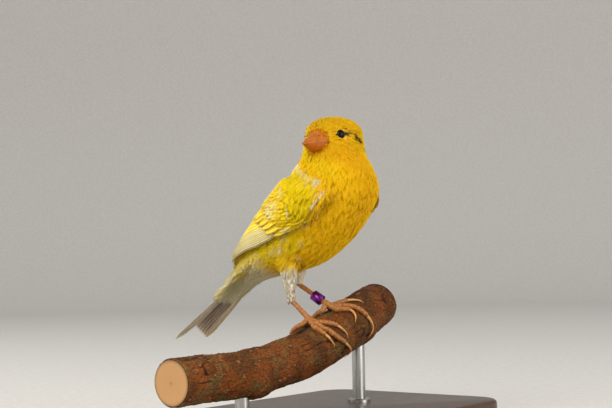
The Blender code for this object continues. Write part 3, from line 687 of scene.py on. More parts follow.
@dataclass
class Plumage:
    """The bird's markings, with painted shade on the breast's left side and the crown and painted light on
    the throat's right side, a colour for each place along and round the trunk. Its right is below 0.
    """

    trunk: Trunk
    gold: str = "#fdc300"
    # painted shade: a deeper gold for the breast's left side, away from the key light
    painted_shade_gold: str = "#f8ae00"
    lemon: str = "#fbdc00"
    cream: str = "#ece2b0"
    white: str = "#f6efd4"
    streak: str = "#1c1209"
    # painted shade: a darker gold for the top of the head
    painted_crown_shade: str = "#cc8e00"
    down: str = "#f4d458"
    front: tuple = (  # where the wing meets the breast, as places along and angles round
        (44.0, 72.0), (48.0, 66.0), (57.0, 64.0), (62.0, 70.0), (65.0, 84.0), (68.0, 104.0),
    )

    def at(self, along: Array, around: Array, rng: Optional[np.random.Generator] = None) -> Array:
        """The plumage's colour.

        Args:
            along: Places along the spine.
            around: Angles round it.
            rng: Where the small differences between feathers come from, or none for the skin's even colour.

        Returns:
            A linear colour for each place.
        """
        along, turned = np.asarray(along, float), wrapped(around)
        side = np.abs(turned)
        colour = np.broadcast_to(linear(self.gold), (*along.shape, 3)).copy()

        def paint(name: str, share: Array) -> None:
            """Lays a colour over what is there."""
            nonlocal colour
            colour = mix(colour, linear(name), np.clip(share, 0, 1)[..., None])

        breast = between(along, (38, 50), (70, 78)) * (1 - ease(side, 60, 110))
        # painted shade: the breast's left side, turned away from the key light, deepened to a darker gold
        paint(self.painted_shade_gold, 0.6 * breast * ease(turned, -30, 25))
        paint(self.lemon, ease(side, 105, 135) * (1 - ease(along, 66, 84)) * 0.8)
        paint(self.lemon, 0.9 * (1 - ease(along, 36, 48)) * ease(side, 30, 60))
        past_front = side - straight(self.front, along)
        paint(self.lemon, ease(past_front, -2, 7) * (1 - ease(along, 67, 70)))
        # painted shade: the crown and forehead darkened to a deeper gold
        paint(self.painted_crown_shade, 0.8 * ease(along, 80, 88))
        # painted light: the throat's right side, turned to the key light, made lemon
        paint(self.lemon, 0.5 * between(along, (60, 66), (73, 79)) * bell(turned, -40, 30))
        paint(self.cream, (1 - ease(along, 13, 24)) * (1 - ease(side, 58, 90)))
        paint(self.cream, 0.85 * (1 - ease(along, 2, 8)))
        paint(self.lemon, 0.9 * between(along, (2, 7), (18, 24)) * ease(side, 75, 100))
        paint(self.cream, 0.3 * between(along, (46, 56), (60, 70)) * ease(side, 118, 150))
        if rng is not None:
            lucky = rng.random(along.shape)
            flank = bell(side, 76, 24) * bell(along, 34, 11)
            paint(self.white, np.where(lucky < 0.3 * flank, 0.45, 0.0))
            ragged = bell(past_front, 0, 5) * between(along, (50, 56), (68, 71))
            high = ease(along, 59, 63)
            paint(self.cream, 0.45 * bell(past_front, 12, 9) * high * (1 - ease(along, 67, 70)))
            paint(self.white, np.where(lucky < (0.45 + 0.3 * high) * ragged, 0.65 + 0.15 * high, 0.0))
            colour = colour * (1 + rng.uniform(-0.05, 0.04, along.shape))[..., None]
        return np.clip(self.streaks(along, turned, colour, rng), 0, 1)

    def streaks(
        self, along: Array, turned: Array, colour: Array, rng: Optional[np.random.Generator],
    ) -> Array:
        """Lays the dark streak behind the eye over a colour.

        Args:
            along: Places along the spine.
            turned: Angles round it, from -180 to 180.
            colour: What is there.
            rng: Where its broken edge comes from, or none.

        Returns:
            The colour with the streak.
        """
        height = np.interp(along, [self.trunk.along_at(h) for h in (100.0, 109.6)], (100.0, 109.6))
        middle = straight(((58, 109.0), (75, 108.0), (95, 107.2), (114, 105.4)), turned)
        width = straight(
            ((58, 0.0), (62, 0.6), (74, 0.6), (84, 0.9), (98, 1.1), (112, 0.7), (118, 0.0)), turned)
        share = np.clip(1.8 - np.abs(height - middle) / np.maximum(width, 1e-3), 0, 1) * (width > 0)
        if rng is not None:
            share = share * (rng.random(along.shape) < 0.8)
        for mark_height, mark_turn in ((103.4, 114.0), (102.2, 112.0)):
            away = np.hypot((height - mark_height) * 1.4, (turned - mark_turn) / 6)
            share = np.maximum(share, 0.6 * (away < 0.8))
        return mix(colour, linear(self.streak), share[..., None])


# Feathers from barbs


@dataclass(frozen=True)
class Web:
    """How a kind of feather is built from its barbs."""

    barbs: int  # on each side of the shaft
    rings: int  # along each barb
    first: float = 0.12  # where the barbs start along the shaft
    last: float = 0.84
    sweep: float = 0.34  # how much of the shaft's length a barb runs back
    thickness: float = 0.09
    cover: float = 1.5  # a barb's width over the spacing of the barbs
    ragged: float = 0.08
    droop: float = 0.12  # how far the web's edge falls, over its half width
    shaft: float = 0.16  # the shaft's half width at its root
    strand: float = 0.0  # a barb's own half width, or 0 for one that fills its spacing
    shape: tuple = ((0, 0.25), (0.25, 0.8), (0.55, 1.0), (0.8, 0.82), (0.93, 0.5), (1, 0.12))

    @property
    def all_barbs(self) -> int:
        """Barbs in a feather, with the one at its tip."""
        return 2 * self.barbs + 1

    def starts(self, tip: float) -> Array:
        """Where each barb starts along the shaft, on one side, then the other, then the tip's own."""
        return np.concatenate([np.linspace(self.first, self.last, self.barbs)] * 2 + [[tip]])

    def build(
        self, paths: Array, outs: Array, half_widths: Array, rng: np.random.Generator, lap: Array = 0.0,
        split: Sequence[float] = (1.0, 1.0), strand: Optional[Array] = None,
    ) -> tuple[Array, Array, Array, Array]:
        """Builds many feathers of this kind.

        Args:
            paths: Each feather's shaft, as rows of points.
            outs: Its outward direction at each of them.
            half_widths: Each feather's half width.
            rng: Where the small differences come from.
            lap: How far the web's first side is raised and its second sunk.
            split: Shares of the half width that the first and second web have.
            strand: The half width of each feather's barbs, where it isn't the kind's own.

        Returns:
            Points, faces, each point's feather and barb, and its share of the way out along its barb.
        """
        count, samples = paths.shape[:2]
        run = unit(np.gradient(paths, axis=1))
        side = unit(np.cross(outs, run))
        start = self.starts(self.last * 0.75)
        end = np.minimum(start + self.sweep * (1.1 - 0.25 * start), 1.0)
        end[-1] = 1.0
        hand = np.concatenate([np.full(self.barbs, -1.0), np.full(self.barbs, 1.0), [0.0]])
        share = np.concatenate([np.full(self.barbs, split[0]), np.full(self.barbs, split[1]), [0.0]])
        q = np.linspace(0, 1, self.rings + 1)
        u = start[:, None] + (end - start)[:, None] * q
        spot = np.clip(u, 0, 1) * (samples - 1)
        i = np.minimum(spot.astype(int), samples - 2)
        f = (spot - i)[..., None]

        def read(values: Array) -> Array:
            """Values along each shaft, read where the barbs' points are."""
            return mix(values[:, i], values[:, i + 1], f)

        wobble = rng.normal(0, 1, (count, len(start), 1))
        reach = np.interp(end, *np.array(self.shape).T) * share
        reach = half_widths[:, None, None] * reach[:, None] * q**0.85 * (1 + self.ragged * wobble)
        out, across, shaft = read(outs), read(side), read(paths)
        lap = np.broadcast_to(np.asarray(lap, float), (count,))[:, None, None]
        stray = 0.4 * self.ragged * rng.normal(0, 1, wobble.shape)
        lift = -lap * hand[:, None] * q - self.droop * reach * q + stray * q
        centre = shaft + across * (reach * hand[:, None])[..., None] + out * lift[..., None]
        length = np.linalg.norm(paths[:, -1] - paths[:, 0], axis=-1)
        spacing = length * (self.last - self.first) / max(self.barbs - 1, 1)
        half = np.full(count, self.strand) if self.strand else spacing * self.cover / 2
        half = half if strand is None else strand
        width = half[:, None, None] * np.interp(q, (0, 0.35, 0.75, 1), (0.6, 1, 0.85, 0))
        width = np.broadcast_to(width, reach.shape)
        points, faces = blades(centre, out, width, np.full_like(width, self.thickness))
        owner = np.repeat(np.arange(count * len(start)), points.shape[1])
        along = np.concatenate([np.repeat(q[:-1], 3), [1.0]])
        away = np.broadcast_to(along, points.shape[:2]).ravel()
        return points.reshape(-1, 3), faces, owner, away

    def shafts(self, paths: Array, outs: Array) -> tuple[Array, Array]:
        """The bare shafts of the feathers, a ridge above and below the web.

        Args:
            paths: Each feather's shaft.
            outs: Its outward direction at each point.

        Returns:
            Points and faces.
        """
        taper = self.shaft * np.linspace(1, 0.25, paths.shape[1])
        width = np.broadcast_to(taper, paths.shape[:2])
        above, faces = blades(paths + outs * 0.02, outs, width, width * 0.8)
        below, more = blades(paths - outs * 0.02, -outs, width, width * 0.8)
        points = np.concatenate([above.reshape(-1, 3), below.reshape(-1, 3)])
        return points, np.concatenate([faces, more + above.size // 3])


def blades(centres: Array, outs: Array, widths: Array, heights: Array) -> tuple[Array, Array]:
    """Closed, three-sided blades that end in a point.

    Args:
        centres: Each blade's middle line, with its points and their coordinates as the last two axes.
        outs: The outward direction at each point.
        widths: The half width at each point.
        heights: The ridge's height at each point.

    Returns:
        The points, one row of them for each blade, and the faces.
    """
    centres, outs = (a.reshape(-1, *a.shape[-2:]) for a in (centres, outs))
    widths, heights = (a.reshape(-1, a.shape[-1])[..., None] for a in (widths, heights))
    side = unit(np.cross(outs, unit(np.gradient(centres, axis=1))))
    ring = np.stack([centres - side * widths, centres + side * widths, centres + outs * heights], 2)[:, :-1]
    count, rings = ring.shape[:2]
    points = np.concatenate([ring.reshape(count, -1, 3), centres[:, -1:]], 1)
    own = [(0, 2, 1)]
    for k in range(rings):
        for a, b in ((0, 1), (1, 2), (2, 0)):
            a, b = k * 3 + a, k * 3 + b
            own += [(a, b, rings * 3)] if k == rings - 1 else [(a, b, b + 3), (a, b + 3, a + 3)]
    faces = np.array(own)[None] + (np.arange(count) * points.shape[1])[:, None, None]
    return points, faces.reshape(-1, 3)


def patch_map(roots: Array, owner: Array, away: Array, barbs: int) -> Array:
    """Where each point of the feathers lies on the OFBake map: a small patch at its feather's root.

    Args:
        roots: Each feather's own place on the skin's map.
        owner: The number of each point's barb, over all feathers.
        away: Each point's share of the way out along its barb.
        barbs: Barbs in each feather.

    Returns:
        A place on the map for each point.
    """
    feather, barb = owner // barbs, owner % barbs
    return roots[feather] + PATCH * np.stack([barb / barbs, away], -1)


@dataclass
class Guide:
    """The smooth surface that body feathers lie along: the trunk, run on over the tail's root."""

    trunk: Trunk
    tail_reach: float = 26.0
    columns: int = 128
    rows: int = 260
    tree: BVHTree = field(init=False)
    along: Array = field(init=False)

    def __post_init__(self) -> None:
        """Builds the surface's tree."""
        start, away, over = self.trunk.tail_frame()
        around = np.arange(self.columns) * 360 / self.columns
        turn = np.radians(around)
        reach = np.linspace(self.tail_reach, 1.0, 14)
        wide = (6.3 + 0.08 * reach)[:, None]
        deep = np.where(np.cos(turn) > 0, (2.5 - 0.085 * reach)[:, None], (2.0 - 0.09 * reach)[:, None])
        stub = (start + away * reach[:, None])[:, None] + LEFTWARD * (wide * np.sin(turn))[..., None]
        stub = stub - over * (deep * np.cos(turn))[..., None]
        along = np.linspace(0.0, self.trunk.crown_at - 0.02, self.rows)
        rings = np.concatenate([stub, self.trunk.flat(along[:, None], around)])
        self.along = np.concatenate([-reach, along])
        quads = tube_faces(len(rings), self.columns)[0]
        self.tree = BVHTree.FromPolygons(rings.reshape(-1, 3).tolist(), quads.tolist())

    def nearest(self, points: Array) -> tuple[Array, Array, Array, Array]:
        """The surface nearest each point.

        Args:
            points: Any points.

        Returns:
            The nearest points, the outward directions there, and their places along and angles round.
        """
        found = [self.tree.find_nearest(Vector(p)) for p in points]
        face = np.array([f[2] for f in found])
        turned = (face % self.columns + 0.5) * 360 / self.columns
        spots, normals = (np.array([f[i] for f in found]) for i in (0, 1))
        return spots, unit(normals), self.along[face // self.columns], turned


@dataclass
class Coat:
    """The body's contour feathers, row by row, from the bill back to the tail."""

    trunk: Trunk
    plumage: Plumage
    guide: Guide
    wing: "Wing"  # either one, for the places that both cover
    thighs: tuple
    spacing: tuple = ((0, 1.2), (12, 1.25), (30, 1.3), (58, 1.2), (66, 1.0), (73, 0.85), (89.2, 0.72))
    lengths: tuple = (
        (0, 9.5), (12, 10.5), (25, 9.5), (45, 9.0), (60, 7.8), (68, 6.2), (74, 4.6), (89.2, 4.2))
    face_length: float = 1.7
    face_growth: float = 0.28
    depth: tuple = ((0, 0.5), (8, 0.75), (25, 0.85), (60, 0.8), (70, 0.7), (76, 0.6), (89.2, 0.5))
    steps: int = 6
    shown: int = 5  # the step whose place gives a feather its colour
    stretches: tuple = (
        ("coat_rump", 0, 12), ("coat_vent", 12, 24), ("coat_belly", 24, 34), ("coat_flanks", 34, 43),
        ("coat_breast", 43, 53), ("coat_shoulders", 53, 63), ("coat_neck", 63, 71), ("coat_head", 71, 100),
    )
    row_step: float = 0.84  # from one row to the next, over the feathers' spacing
    crown_step: float = 0.84 * 1.35
    thigh_lift: float = 4.0  # how far a feather is lifted over a thigh at most
    over_front: float = 1.1  # how much higher a feather lies that comes over the wing's front
    far_share: float = 0.1  # the share of it on the bird's left, where the breast hides the wing's front
    eye_clear: float = 1.75
    bill_clear: float = 4.0
    strands: tuple = ((0, 0.185), (58, 0.175), (68, 0.155), (76, 0.135), (90, 0.125))
    web: Web = Web(
        barbs=9, rings=2, first=0.2, last=0.82, sweep=0.46, thickness=0.08, ragged=0.1, droop=0.03, shaft=0.0)
    face_web: Web = Web(
        barbs=5, rings=2, first=0.2, last=0.8, sweep=0.46, thickness=0.07, ragged=0.14, droop=0.03, shaft=0.0)

    def roots(self) -> tuple[Array, Array]:
        """Where the feathers grow, in staggered rows.

        Returns:
            Places along and angles round the trunk.
        """
        rng = np.random.default_rng(SEED)
        along, around, at, row = [], [], 0.4, 0
        while at < self.trunk.crown_at - 0.35:
            gap = float(straight(self.spacing, at))
            ring = self.trunk.flat(np.full(73, at), np.linspace(0, 360, 73))
            girth = np.linalg.norm(np.diff(ring, axis=0), axis=1).sum()
            count = max(5, round(girth / gap))
            angles = (np.arange(count) + 0.5 * (row % 2) + rng.uniform(-0.22, 0.22, count)) * 360 / count
            around.append(angles)
            along.append(at + rng.uniform(-0.2, 0.2, count) * gap)
            at += gap * (self.row_step if at < self.trunk.brow_at else self.crown_step)
            row += 1
        return np.clip(np.concatenate(along), 0.1, self.trunk.crown_at - 0.1), np.concatenate(around)

    def bare(self, along: Array, around: Array, points: Array) -> Array:
        """Where no body feather grows: under the wings, at the eyes and under the bill's root."""
        side = np.abs(wrapped(around))
        edge, ridge = straight(self.wing.edge, along), straight(self.wing.ridge, along)
        winged = (side > np.maximum(edge, 64) + 4) & (side < ridge - 6) & (along < 56)
        to_eye = np.minimum(*(np.linalg.norm(points - eye, axis=-1) for eye in self.eyes()))
        to_bill = points - self.trunk.bill_base()
        centre, left, back = self.trunk.bill_section()
        reach = np.hypot(to_bill @ left, to_bill[:, 2])
        under_bill = (reach < self.bill_clear) & (-(points - centre) @ back > 0)
        return winged | (to_eye < self.eye_clear) | under_bill

    def eyes(self) -> tuple[Array, Array]:
        """The middles of the two eye openings."""
        return tuple(self.trunk.point(*self.trunk.eye(side), 0.1) for side in Side)

    def flow(self, points: Array, normals: Array, along: Array) -> Array:
        """The way that the feathers lie: back from the bill on the head, and down the body to the tail.

        Args:
            points: Places on the surface.
            normals: The outward directions there.
            along: The places along the spine.

        Returns:
            A direction in the surface for each point.
        """
        from_bill = unit(points - self.trunk.bill_base()) - UP * 0.18
        _, climb, *_ = self.trunk.spine(np.maximum(along, 0))
        _, away, _ = self.trunk.tail_frame()
        down = np.where((along < 0)[:, None], away, -climb)
        lie = mix(down, from_bill, ease(along, 66, 77)[:, None])
        return unit(lie - normals * (lie * normals).sum(-1, keepdims=True))

    def lay(self, points: Array, lengths: Array, depth: Array, rng: np.random.Generator) -> tuple[Array, ...]:
        """Lays each feather's shaft along the surface.

        Args:
            points: The feathers' roots on the surface.
            lengths: Their lengths.
            depth: The coat's depth at each.
            rng: Where the small differences come from.

        Returns:
            The shafts' points and outward directions, and the places and angles where the feathers show.
        """
        here, normal, along, turned = self.guide.nearest(points)
        rise = depth * rng.uniform(0.9, 1.06, len(points))
        lift = self.over_wing(along, turned) + self.over_thighs(here, normal)
        rows, outs = [here + normal * (lift - depth)[:, None]], [normal]
        skew = rng.normal(0, 0.07, len(points))
        eyes = self.eyes()
        for k in range(1, self.steps + 1):
            lie = self.flow(here, normal, along)
            lie = unit(lie + np.cross(normal, lie) * skew[:, None])
            ahead = here + lie * (lengths / self.steps)[:, None]
            for eye in eyes:
                apart = ahead - eye
                far = np.linalg.norm(apart, axis=-1, keepdims=True)
                rim = eye + apart / np.maximum(far, 1e-6) * self.eye_clear
                ahead = np.where(far < self.eye_clear, rim, ahead)
            here, normal, along, turned = self.guide.nearest(ahead)
            share = ease(k / self.steps, 0, 0.42)
            lift = self.over_wing(along, turned) + self.over_thighs(here, normal)
            rows.append(here + normal * (rise * share - depth + lift)[:, None])
            outs.append(normal)
            if k <= self.shown:
                seen = along, turned
        return np.stack(rows, 1), np.stack(outs, 1), *seen

    def over_wing(self, along: Array, around: Array) -> Array:
        """How far a feather is lifted where it lies over a folded wing's front or ridge.

        Args:
            along: Places along the spine.
            around: Angles round it.

        Returns:
            The lift at each place.
        """
        side = np.abs(wrapped(around))
        edge, ridge = straight(self.wing.edge, along), straight(self.wing.ridge, along)
        across = (side - edge) / (ridge - edge)
        inside = ease(across, -0.06, 0.06) * (1 - ease(side - ridge, 0, 26))
        front = 1 - ease(along, 57.5, 62.5)
        tail = ease(along, 2, 12)
        near = np.where(wrapped(around) < 0, 1.0, self.far_share)
        proud = self.over_front * near * ease(along, 38, 50) * (1 - 0.7 * ease(side, 80, 105))
        over = self.wing.lift(along, np.clip(across, 0, 1)) + proud
        return over * inside * front * tail

    def over_thighs(self, points: Array, normals: Array) -> Array:
        """How far a feather is lifted where it lies over a thigh's top.

        Args:
            points: Places on the body's surface.
            normals: The outward directions there.

        Returns:
            The lift at each place.
        """
        lift = np.zeros(len(points))
        for thigh in self.thighs:
            for spot, radius in zip(*thigh.top()):
                apart = points - spot
                nearer = (apart * normals).sum(-1)
                room = nearer**2 - (apart**2).sum(-1) + radius**2
                out = np.sqrt(np.maximum(room, 0)) - nearer
                lift = np.maximum(lift, np.where((room > 0) & (out < self.thigh_lift), out, 0))
        return lift

    def map_place(self, along: Array, around: Array) -> Array:
        """A place on the unrolled skin's map."""
        return np.stack([0.02 + 0.6 * (around / 360 % 1), 0.02 + 0.95 * along / self.trunk.crown_at], -1)

    def build(self) -> None:
        """Builds the coat's pieces, one for each stretch of the body."""
        along, around = self.roots()
        points = self.trunk.flat(along, around)
        kept = ~self.bare(along, around, points)
        along, around, points = along[kept], around[kept], points[kept]
        away = np.linalg.norm(points - self.trunk.bill_base(), axis=-1)
        length = np.minimum(straight(self.lengths, along), self.face_length + self.face_growth * away)
        depth = straight(self.depth, along)
        for number, (name, start, end) in enumerate(self.stretches):
            chosen = (along >= start) & (along < end)
            rng = np.random.default_rng(SEED + number)
            web = self.face_web if name == "coat_head" else self.web
            long = length[chosen] * rng.uniform(0.88, 1.1, chosen.sum())
            paths, outs, seen_along, seen_around = self.lay(points[chosen], long, depth[chosen], rng)
            apart = np.min([np.linalg.norm(paths - eye, axis=-1).min(1) for eye in self.eyes()], axis=0)
            wide = long * 0.25 * np.clip((apart - self.eye_clear + 0.2) / 1.6, 0.15, 1.0)
            strand = straight(self.strands, along[chosen])
            shape, faces, owner, out_share = web.build(paths, outs, wide, rng, strand=strand)
            tint = self.plumage.at(np.maximum(seen_along, 0), seen_around, rng)[owner // web.all_barbs]
            tint = self.root_down_and_shade(tint, owner % web.all_barbs, out_share, web)
            spots = patch_map(self.map_place(along[chosen], around[chosen]), owner, out_share, web.all_barbs)
            piece = mesh_object(name, shape, [faces], BODY_FEATHER, tint, {"OFBake": spots})
            place(piece, "pale_feather" if end < 25 else "yellow_feather")

    def root_down_and_shade(self, tint: Array, barb: Array, away: Array, web: Web) -> Array:
        """A feather's own colour: pale down at its root, darkened by 0.8 as painted shade, and full colour at
        its tip.

        Args:
            tint: Each point's colour at the tip.
            barb: Each point's barb within its feather.
            away: Each point's share of the way out along its barb.
            web: The kind of feather.

        Returns:
            The shaded colours.
        """
        order = barb % web.barbs / max(web.barbs - 1, 1)
        # pale down at the inner barbs' roots, darkened by 0.8 as painted shade
        down_and_shade_share = 0.25 * (1 - np.clip(order + 0.7 * away, 0, 1)) * (barb < 2 * web.barbs)
        return mix(tint, linear(self.plumage.down) * 0.8, down_and_shade_share[:, None])


# Wings and tail


class Tier(NamedTuple):
    """A row of like feathers on the folded wing, placed by (along, across) pairs for its two ends."""

    count: int
    half_width: float
    first_root: tuple
    last_root: tuple
    first_tip: tuple
    last_tip: tuple
    first_lift: float
    last_lift: float
    barbs: int
    outer_web: float  # the lower web's share of the half width
    colour: str
    edge: str
    last_colour: str = ""  # the last feather's, where it isn't the first's
    # the first feather's lower edge is dark from its own inner web and from painted shadow where the wing
    # meets the flank
    dark: float = 0.0  # how dark the first feather's lower edge is


@dataclass
class Wing:
    """One folded wing, laid out as places along the body and across from its lower edge to its ridge."""

    trunk: Trunk
    side: Side
    edge: tuple = ((60.5, 50.0), (49.5, 67.0), (40.5, 80.0), (29.5, 92.0), (14.5, 116.0), (6.5, 128.0))
    ridge: tuple = ((60.5, 132.0), (43.5, 152.0), (28.5, 165.0), (14.5, 170.0), (6.5, 172.0))
    edge_lift: tuple = ((60.5, 2.0), (49.5, 1.6), (40.5, 1.6), (29.5, 1.8), (14.5, 2.4), (6.5, 2.8))
    bulge: float = 1.8
    ridge_lift: float = 2.2
    lap: float = 0.2
    tiers: tuple = (
        Tier(9, 2.1, (42.0, 0.05), (41.0, 0.27), (10.0, 0.04), (20.0, 0.46), -0.4, -0.2, 62, 0.5,
             "#e3cf86", "#faf0c0", "#e0c830", 0.6),
        Tier(6, 2.6, (40.0, 0.35), (38.0, 0.72), (21.5, 0.54), (26.0, 0.8), -0.15, -0.05, 40, 0.7,
             "#e4c828", "#f2e06a"),
        Tier(3, 2.9, (38.5, 0.79), (39.5, 0.93), (27.0, 0.84), (33.0, 0.93), 0.0, 0.1, 30, 0.8,
             "#eace24", "#f4e26c"),
        Tier(9, 2.2, (46.5, 0.07), (42.0, 0.86), (39.0, 0.05), (34.0, 0.84), 0.1, 0.2, 26, 0.8,
             "#f0d010", "#f4e068"),
        Tier(8, 2.4, (54.0, 0.12), (49.0, 0.86), (46.5, 0.10), (41.5, 0.84), 0.25, 0.35, 20, 0.9,
             "#f2d204", "#f4dc40"),
        Tier(4, 2.7, (50.0, 0.84), (44.0, 0.93), (39.0, 0.84), (33.0, 0.93), 0.2, 0.3, 22, 1.0,
             "#f2ce00", "#f4e068"),
        Tier(4, 2.8, (57.0, 0.86), (50.0, 0.96), (46.0, 0.84), (38.0, 0.94), 0.4, 0.5, 22, 1.0,
             "#f2ca00", "#f4de68"),
        Tier(2, 1.3, (50.0, 0.03), (48.0, 0.08), (43.5, 0.0), (42.0, 0.05), 0.4, 0.5, 20, 0.7,
             "#f0d440", "#f8efc0"),
    )
    samples: int = 18
    lesser_count: int = 15
    lesser_rows: tuple = (49.0, 60.0, 1.25)  # the first row, the end of the rows and the step between them
    # the first primary's dark inner web, with painted shadow where the wing meets the flank
    lower_web_and_shadow: str = "#4a3018"
    lesser: str = "#f4d400"
    lesser_pale: str = "#f4e8a8"

    def around(self, along: Array, across: Array) -> Array:
        """The angle round the body at a place across the wing."""
        low, high = straight(self.edge, along), straight(self.ridge, along)
        return low + (high - low) * across

    def lift(self, along: Array, across: Array) -> Array:
        """How far the wing's outer face stands off the body."""
        low = straight(self.edge_lift, along)
        high = self.ridge_lift + np.clip(20 - np.asarray(along), 0, 12) * 0.25
        return low + (high - low) * across + self.bulge * np.sin(np.pi * np.clip(across, 0, 1) ** 0.8)

    def surface(self, along: Array, across: Array, lift: Array = 0.0) -> Array:
        """A place on the wing's outer face, raised."""
        turned = self.around(along, across) * self.side.value
        return self.trunk.point(along, turned, self.lift(along, across) + lift)

    def raised(self, along: Array, across: Array, lift: Array) -> tuple[Array, Array]:
        """Places raised off the wing's outer face, and the outward directions there."""
        paths = self.surface(along, across, lift)
        return paths, unit(self.surface(along, across, lift + 1) - paths)

    def map_place(self, along: Array, across: Array) -> Array:
        """A place on the unrolled wing's map."""
        start = 0.66 if self.side is Side.LEFT else 0.82
        return np.stack([start + 0.14 * np.asarray(across), 0.02 + 0.9 * np.asarray(along) / 62], -1)

    def row(self, tier: Tier, rng: np.random.Generator) -> list[tuple]:
        """The feathers of one row.

        Args:
            tier: The row.
            rng: Where the small differences come from.

        Returns:
            Points, faces, tints and map places of the webs, and then of the shafts.
        """
        share = np.linspace(0, 1, tier.count)[:, None]
        t = np.linspace(0, 1, self.samples)
        root = mix(np.array(tier.first_root), np.array(tier.last_root), share)
        tip = mix(np.array(tier.first_tip), np.array(tier.last_tip), share)
        reach = tip + rng.normal(0, (0.35, 0.004), tip.shape) - root
        along, across = (root[:, i : i + 1] + reach[:, i : i + 1] * t for i in (0, 1))
        lift = mix(tier.first_lift, tier.last_lift, share) - 0.7 * np.clip(1 - t / 0.35, 0, 1)
        paths, outs = self.raised(along, across, lift)
        web = Web(barbs=tier.barbs, rings=3, first=0.05, last=0.93, sweep=0.2, thickness=0.07, cover=1.35,
                  ragged=0.035, droop=0.1, shaft=0.12)
        lower_first = self.side is Side.LEFT
        split = (tier.outer_web, 1.0) if lower_first else (1.0, tier.outer_web)
        wide = np.full(tier.count, tier.half_width)
        points, faces, owner, away = web.build(paths, outs, wide, rng, self.side.value * self.lap, split)
        feather, barb = owner // web.all_barbs, owner % web.all_barbs
        start = web.starts(0.8)[barb]
        colour = mix(linear(tier.colour), linear(tier.last_colour or tier.colour), share[feather])
        lower = barb // web.barbs == (0 if lower_first else 1)
        pale = np.clip(away * (0.35 + 0.6 * lower) + 0.5 * ease(start, 0.8, 1.0), 0, 1)[:, None]
        # the first feather's lower web darkened: partly its own dark web, partly painted shadow between wing
        # and flank
        rim = (tier.dark * ((feather == 0) & lower) * (0.4 + 0.6 * away))[:, None]
        tint = mix(mix(colour, linear(tier.edge), pale), linear(self.lower_web_and_shadow), rim)
        tint = tint * rng.uniform(0.9, 1.06, (tier.count, 1))[feather]
        tint = tint * rng.uniform(0.93, 1.05, (tier.count * web.all_barbs, 1))[owner]
        spot = self.map_place(*(root[feather, i] + reach[feather, i] * start for i in (0, 1)))
        spots = spot + PATCH * np.stack([away, np.zeros_like(away)], -1)
        shaft, shaft_faces = web.shafts(paths, outs)
        middle = self.map_place(np.repeat(along[:, :-1], 3, 1), np.repeat(across[:, :-1], 3, 1))
        end = self.map_place(along[:, -1:], across[:, -1:])
        shaft_spots = np.tile(np.concatenate([middle, end], 1).reshape(-1, 2), (2, 1))
        shaft_tint = np.broadcast_to(linear(tier.edge) * 0.85, shaft.shape)
        return [(points, faces, tint, spots), (shaft, shaft_faces, shaft_tint, shaft_spots)]

    def lesser_coverts(self, rng: np.random.Generator) -> tuple:
        """The small feathers that cover the wing's front.

        Args:
            rng: Where the small differences come from.

        Returns:
            Points, faces, tints and map places.
        """
        along, across, count = [], [], self.lesser_count
        for number, at in enumerate(np.arange(*self.lesser_rows)):
            order = np.arange(count) + 0.5 * (number % 2) + rng.uniform(-0.2, 0.2, count)
            across.append(order / count * 0.94 + 0.03)
            along.append(at + rng.uniform(-0.3, 0.3, count))
        along, across = np.concatenate(along), np.concatenate(across)
        kept = self.around(along, across) > 60
        along, across = along[kept], across[kept]
        t = np.linspace(0, 1, 6)
        length = rng.uniform(5.4, 6.6, len(along))[:, None]
        down = along[:, None] - length * t
        dip = 1.1 * np.clip(1 - (60.5 - down) / 3.5, 0, 1)
        rise = -0.35 + (0.95 + 0.2 * rng.uniform(-1, 1, len(along))[:, None]) * ease(t, 0, 0.55) - dip
        paths, outs = self.raised(down, across[:, None], rise)
        web = Web(barbs=9, rings=2, first=0.15, last=0.86, sweep=0.4, thickness=0.08, ragged=0.1, shaft=0.0,
                  strand=0.17)
        points, faces, owner, away = web.build(paths, outs, length[:, 0] * 0.29, rng)
        lucky = rng.random(len(along))
        turned = self.around(along, across)
        pale = 0.75 * bell(along, 50, 3) * bell(turned, 102, 9) + 0.7 * ease(turned, 118, 130)
        pale = np.clip(np.where(lucky < 0.1, 0.6, 0.0) + pale, 0, 0.85)[:, None]
        base = mix(linear(self.lesser), linear(self.lesser_pale), pale)
        base = base * rng.uniform(0.94, 1.04, (len(along), 1))
        spots = patch_map(self.map_place(along, across), owner, away, web.all_barbs)
        return points, faces, base[owner // web.all_barbs], spots

    def build(self) -> None:
        """Builds the wing's feathers as one piece."""
        rng = np.random.default_rng(SEED + 20 + self.side.value)
        rows = [part for tier in self.tiers for part in self.row(tier, rng)] + [self.lesser_coverts(rng)]
        name = "wing_" + self.side.word
        feather_piece("feathers_" + name, rows, FLIGHT_FEATHER, "wing_feather", name)


def feather_piece(name: str, rows: list[tuple], finish: Finish, slot: str, *nodes: str) -> None:
    """Joins rows of feathers in one piece.

    Args:
        name: The piece's name.
        rows: Points, faces, tints and map places of each row.
        finish: What they are made of.
        slot: The record's name for its finish.
        *nodes: The frame's nodes that it stands for.
    """
    starts = np.cumsum([0] + [len(row[0]) for row in rows])
    faces = [row[1] + start for row, start in zip(rows, starts)]
    points, tint, spots = (np.concatenate([row[i] for row in rows]) for i in (0, 2, 3))
    place(mesh_object(name, points, faces, finish, tint, {"OFBake": spots}), slot, *nodes)


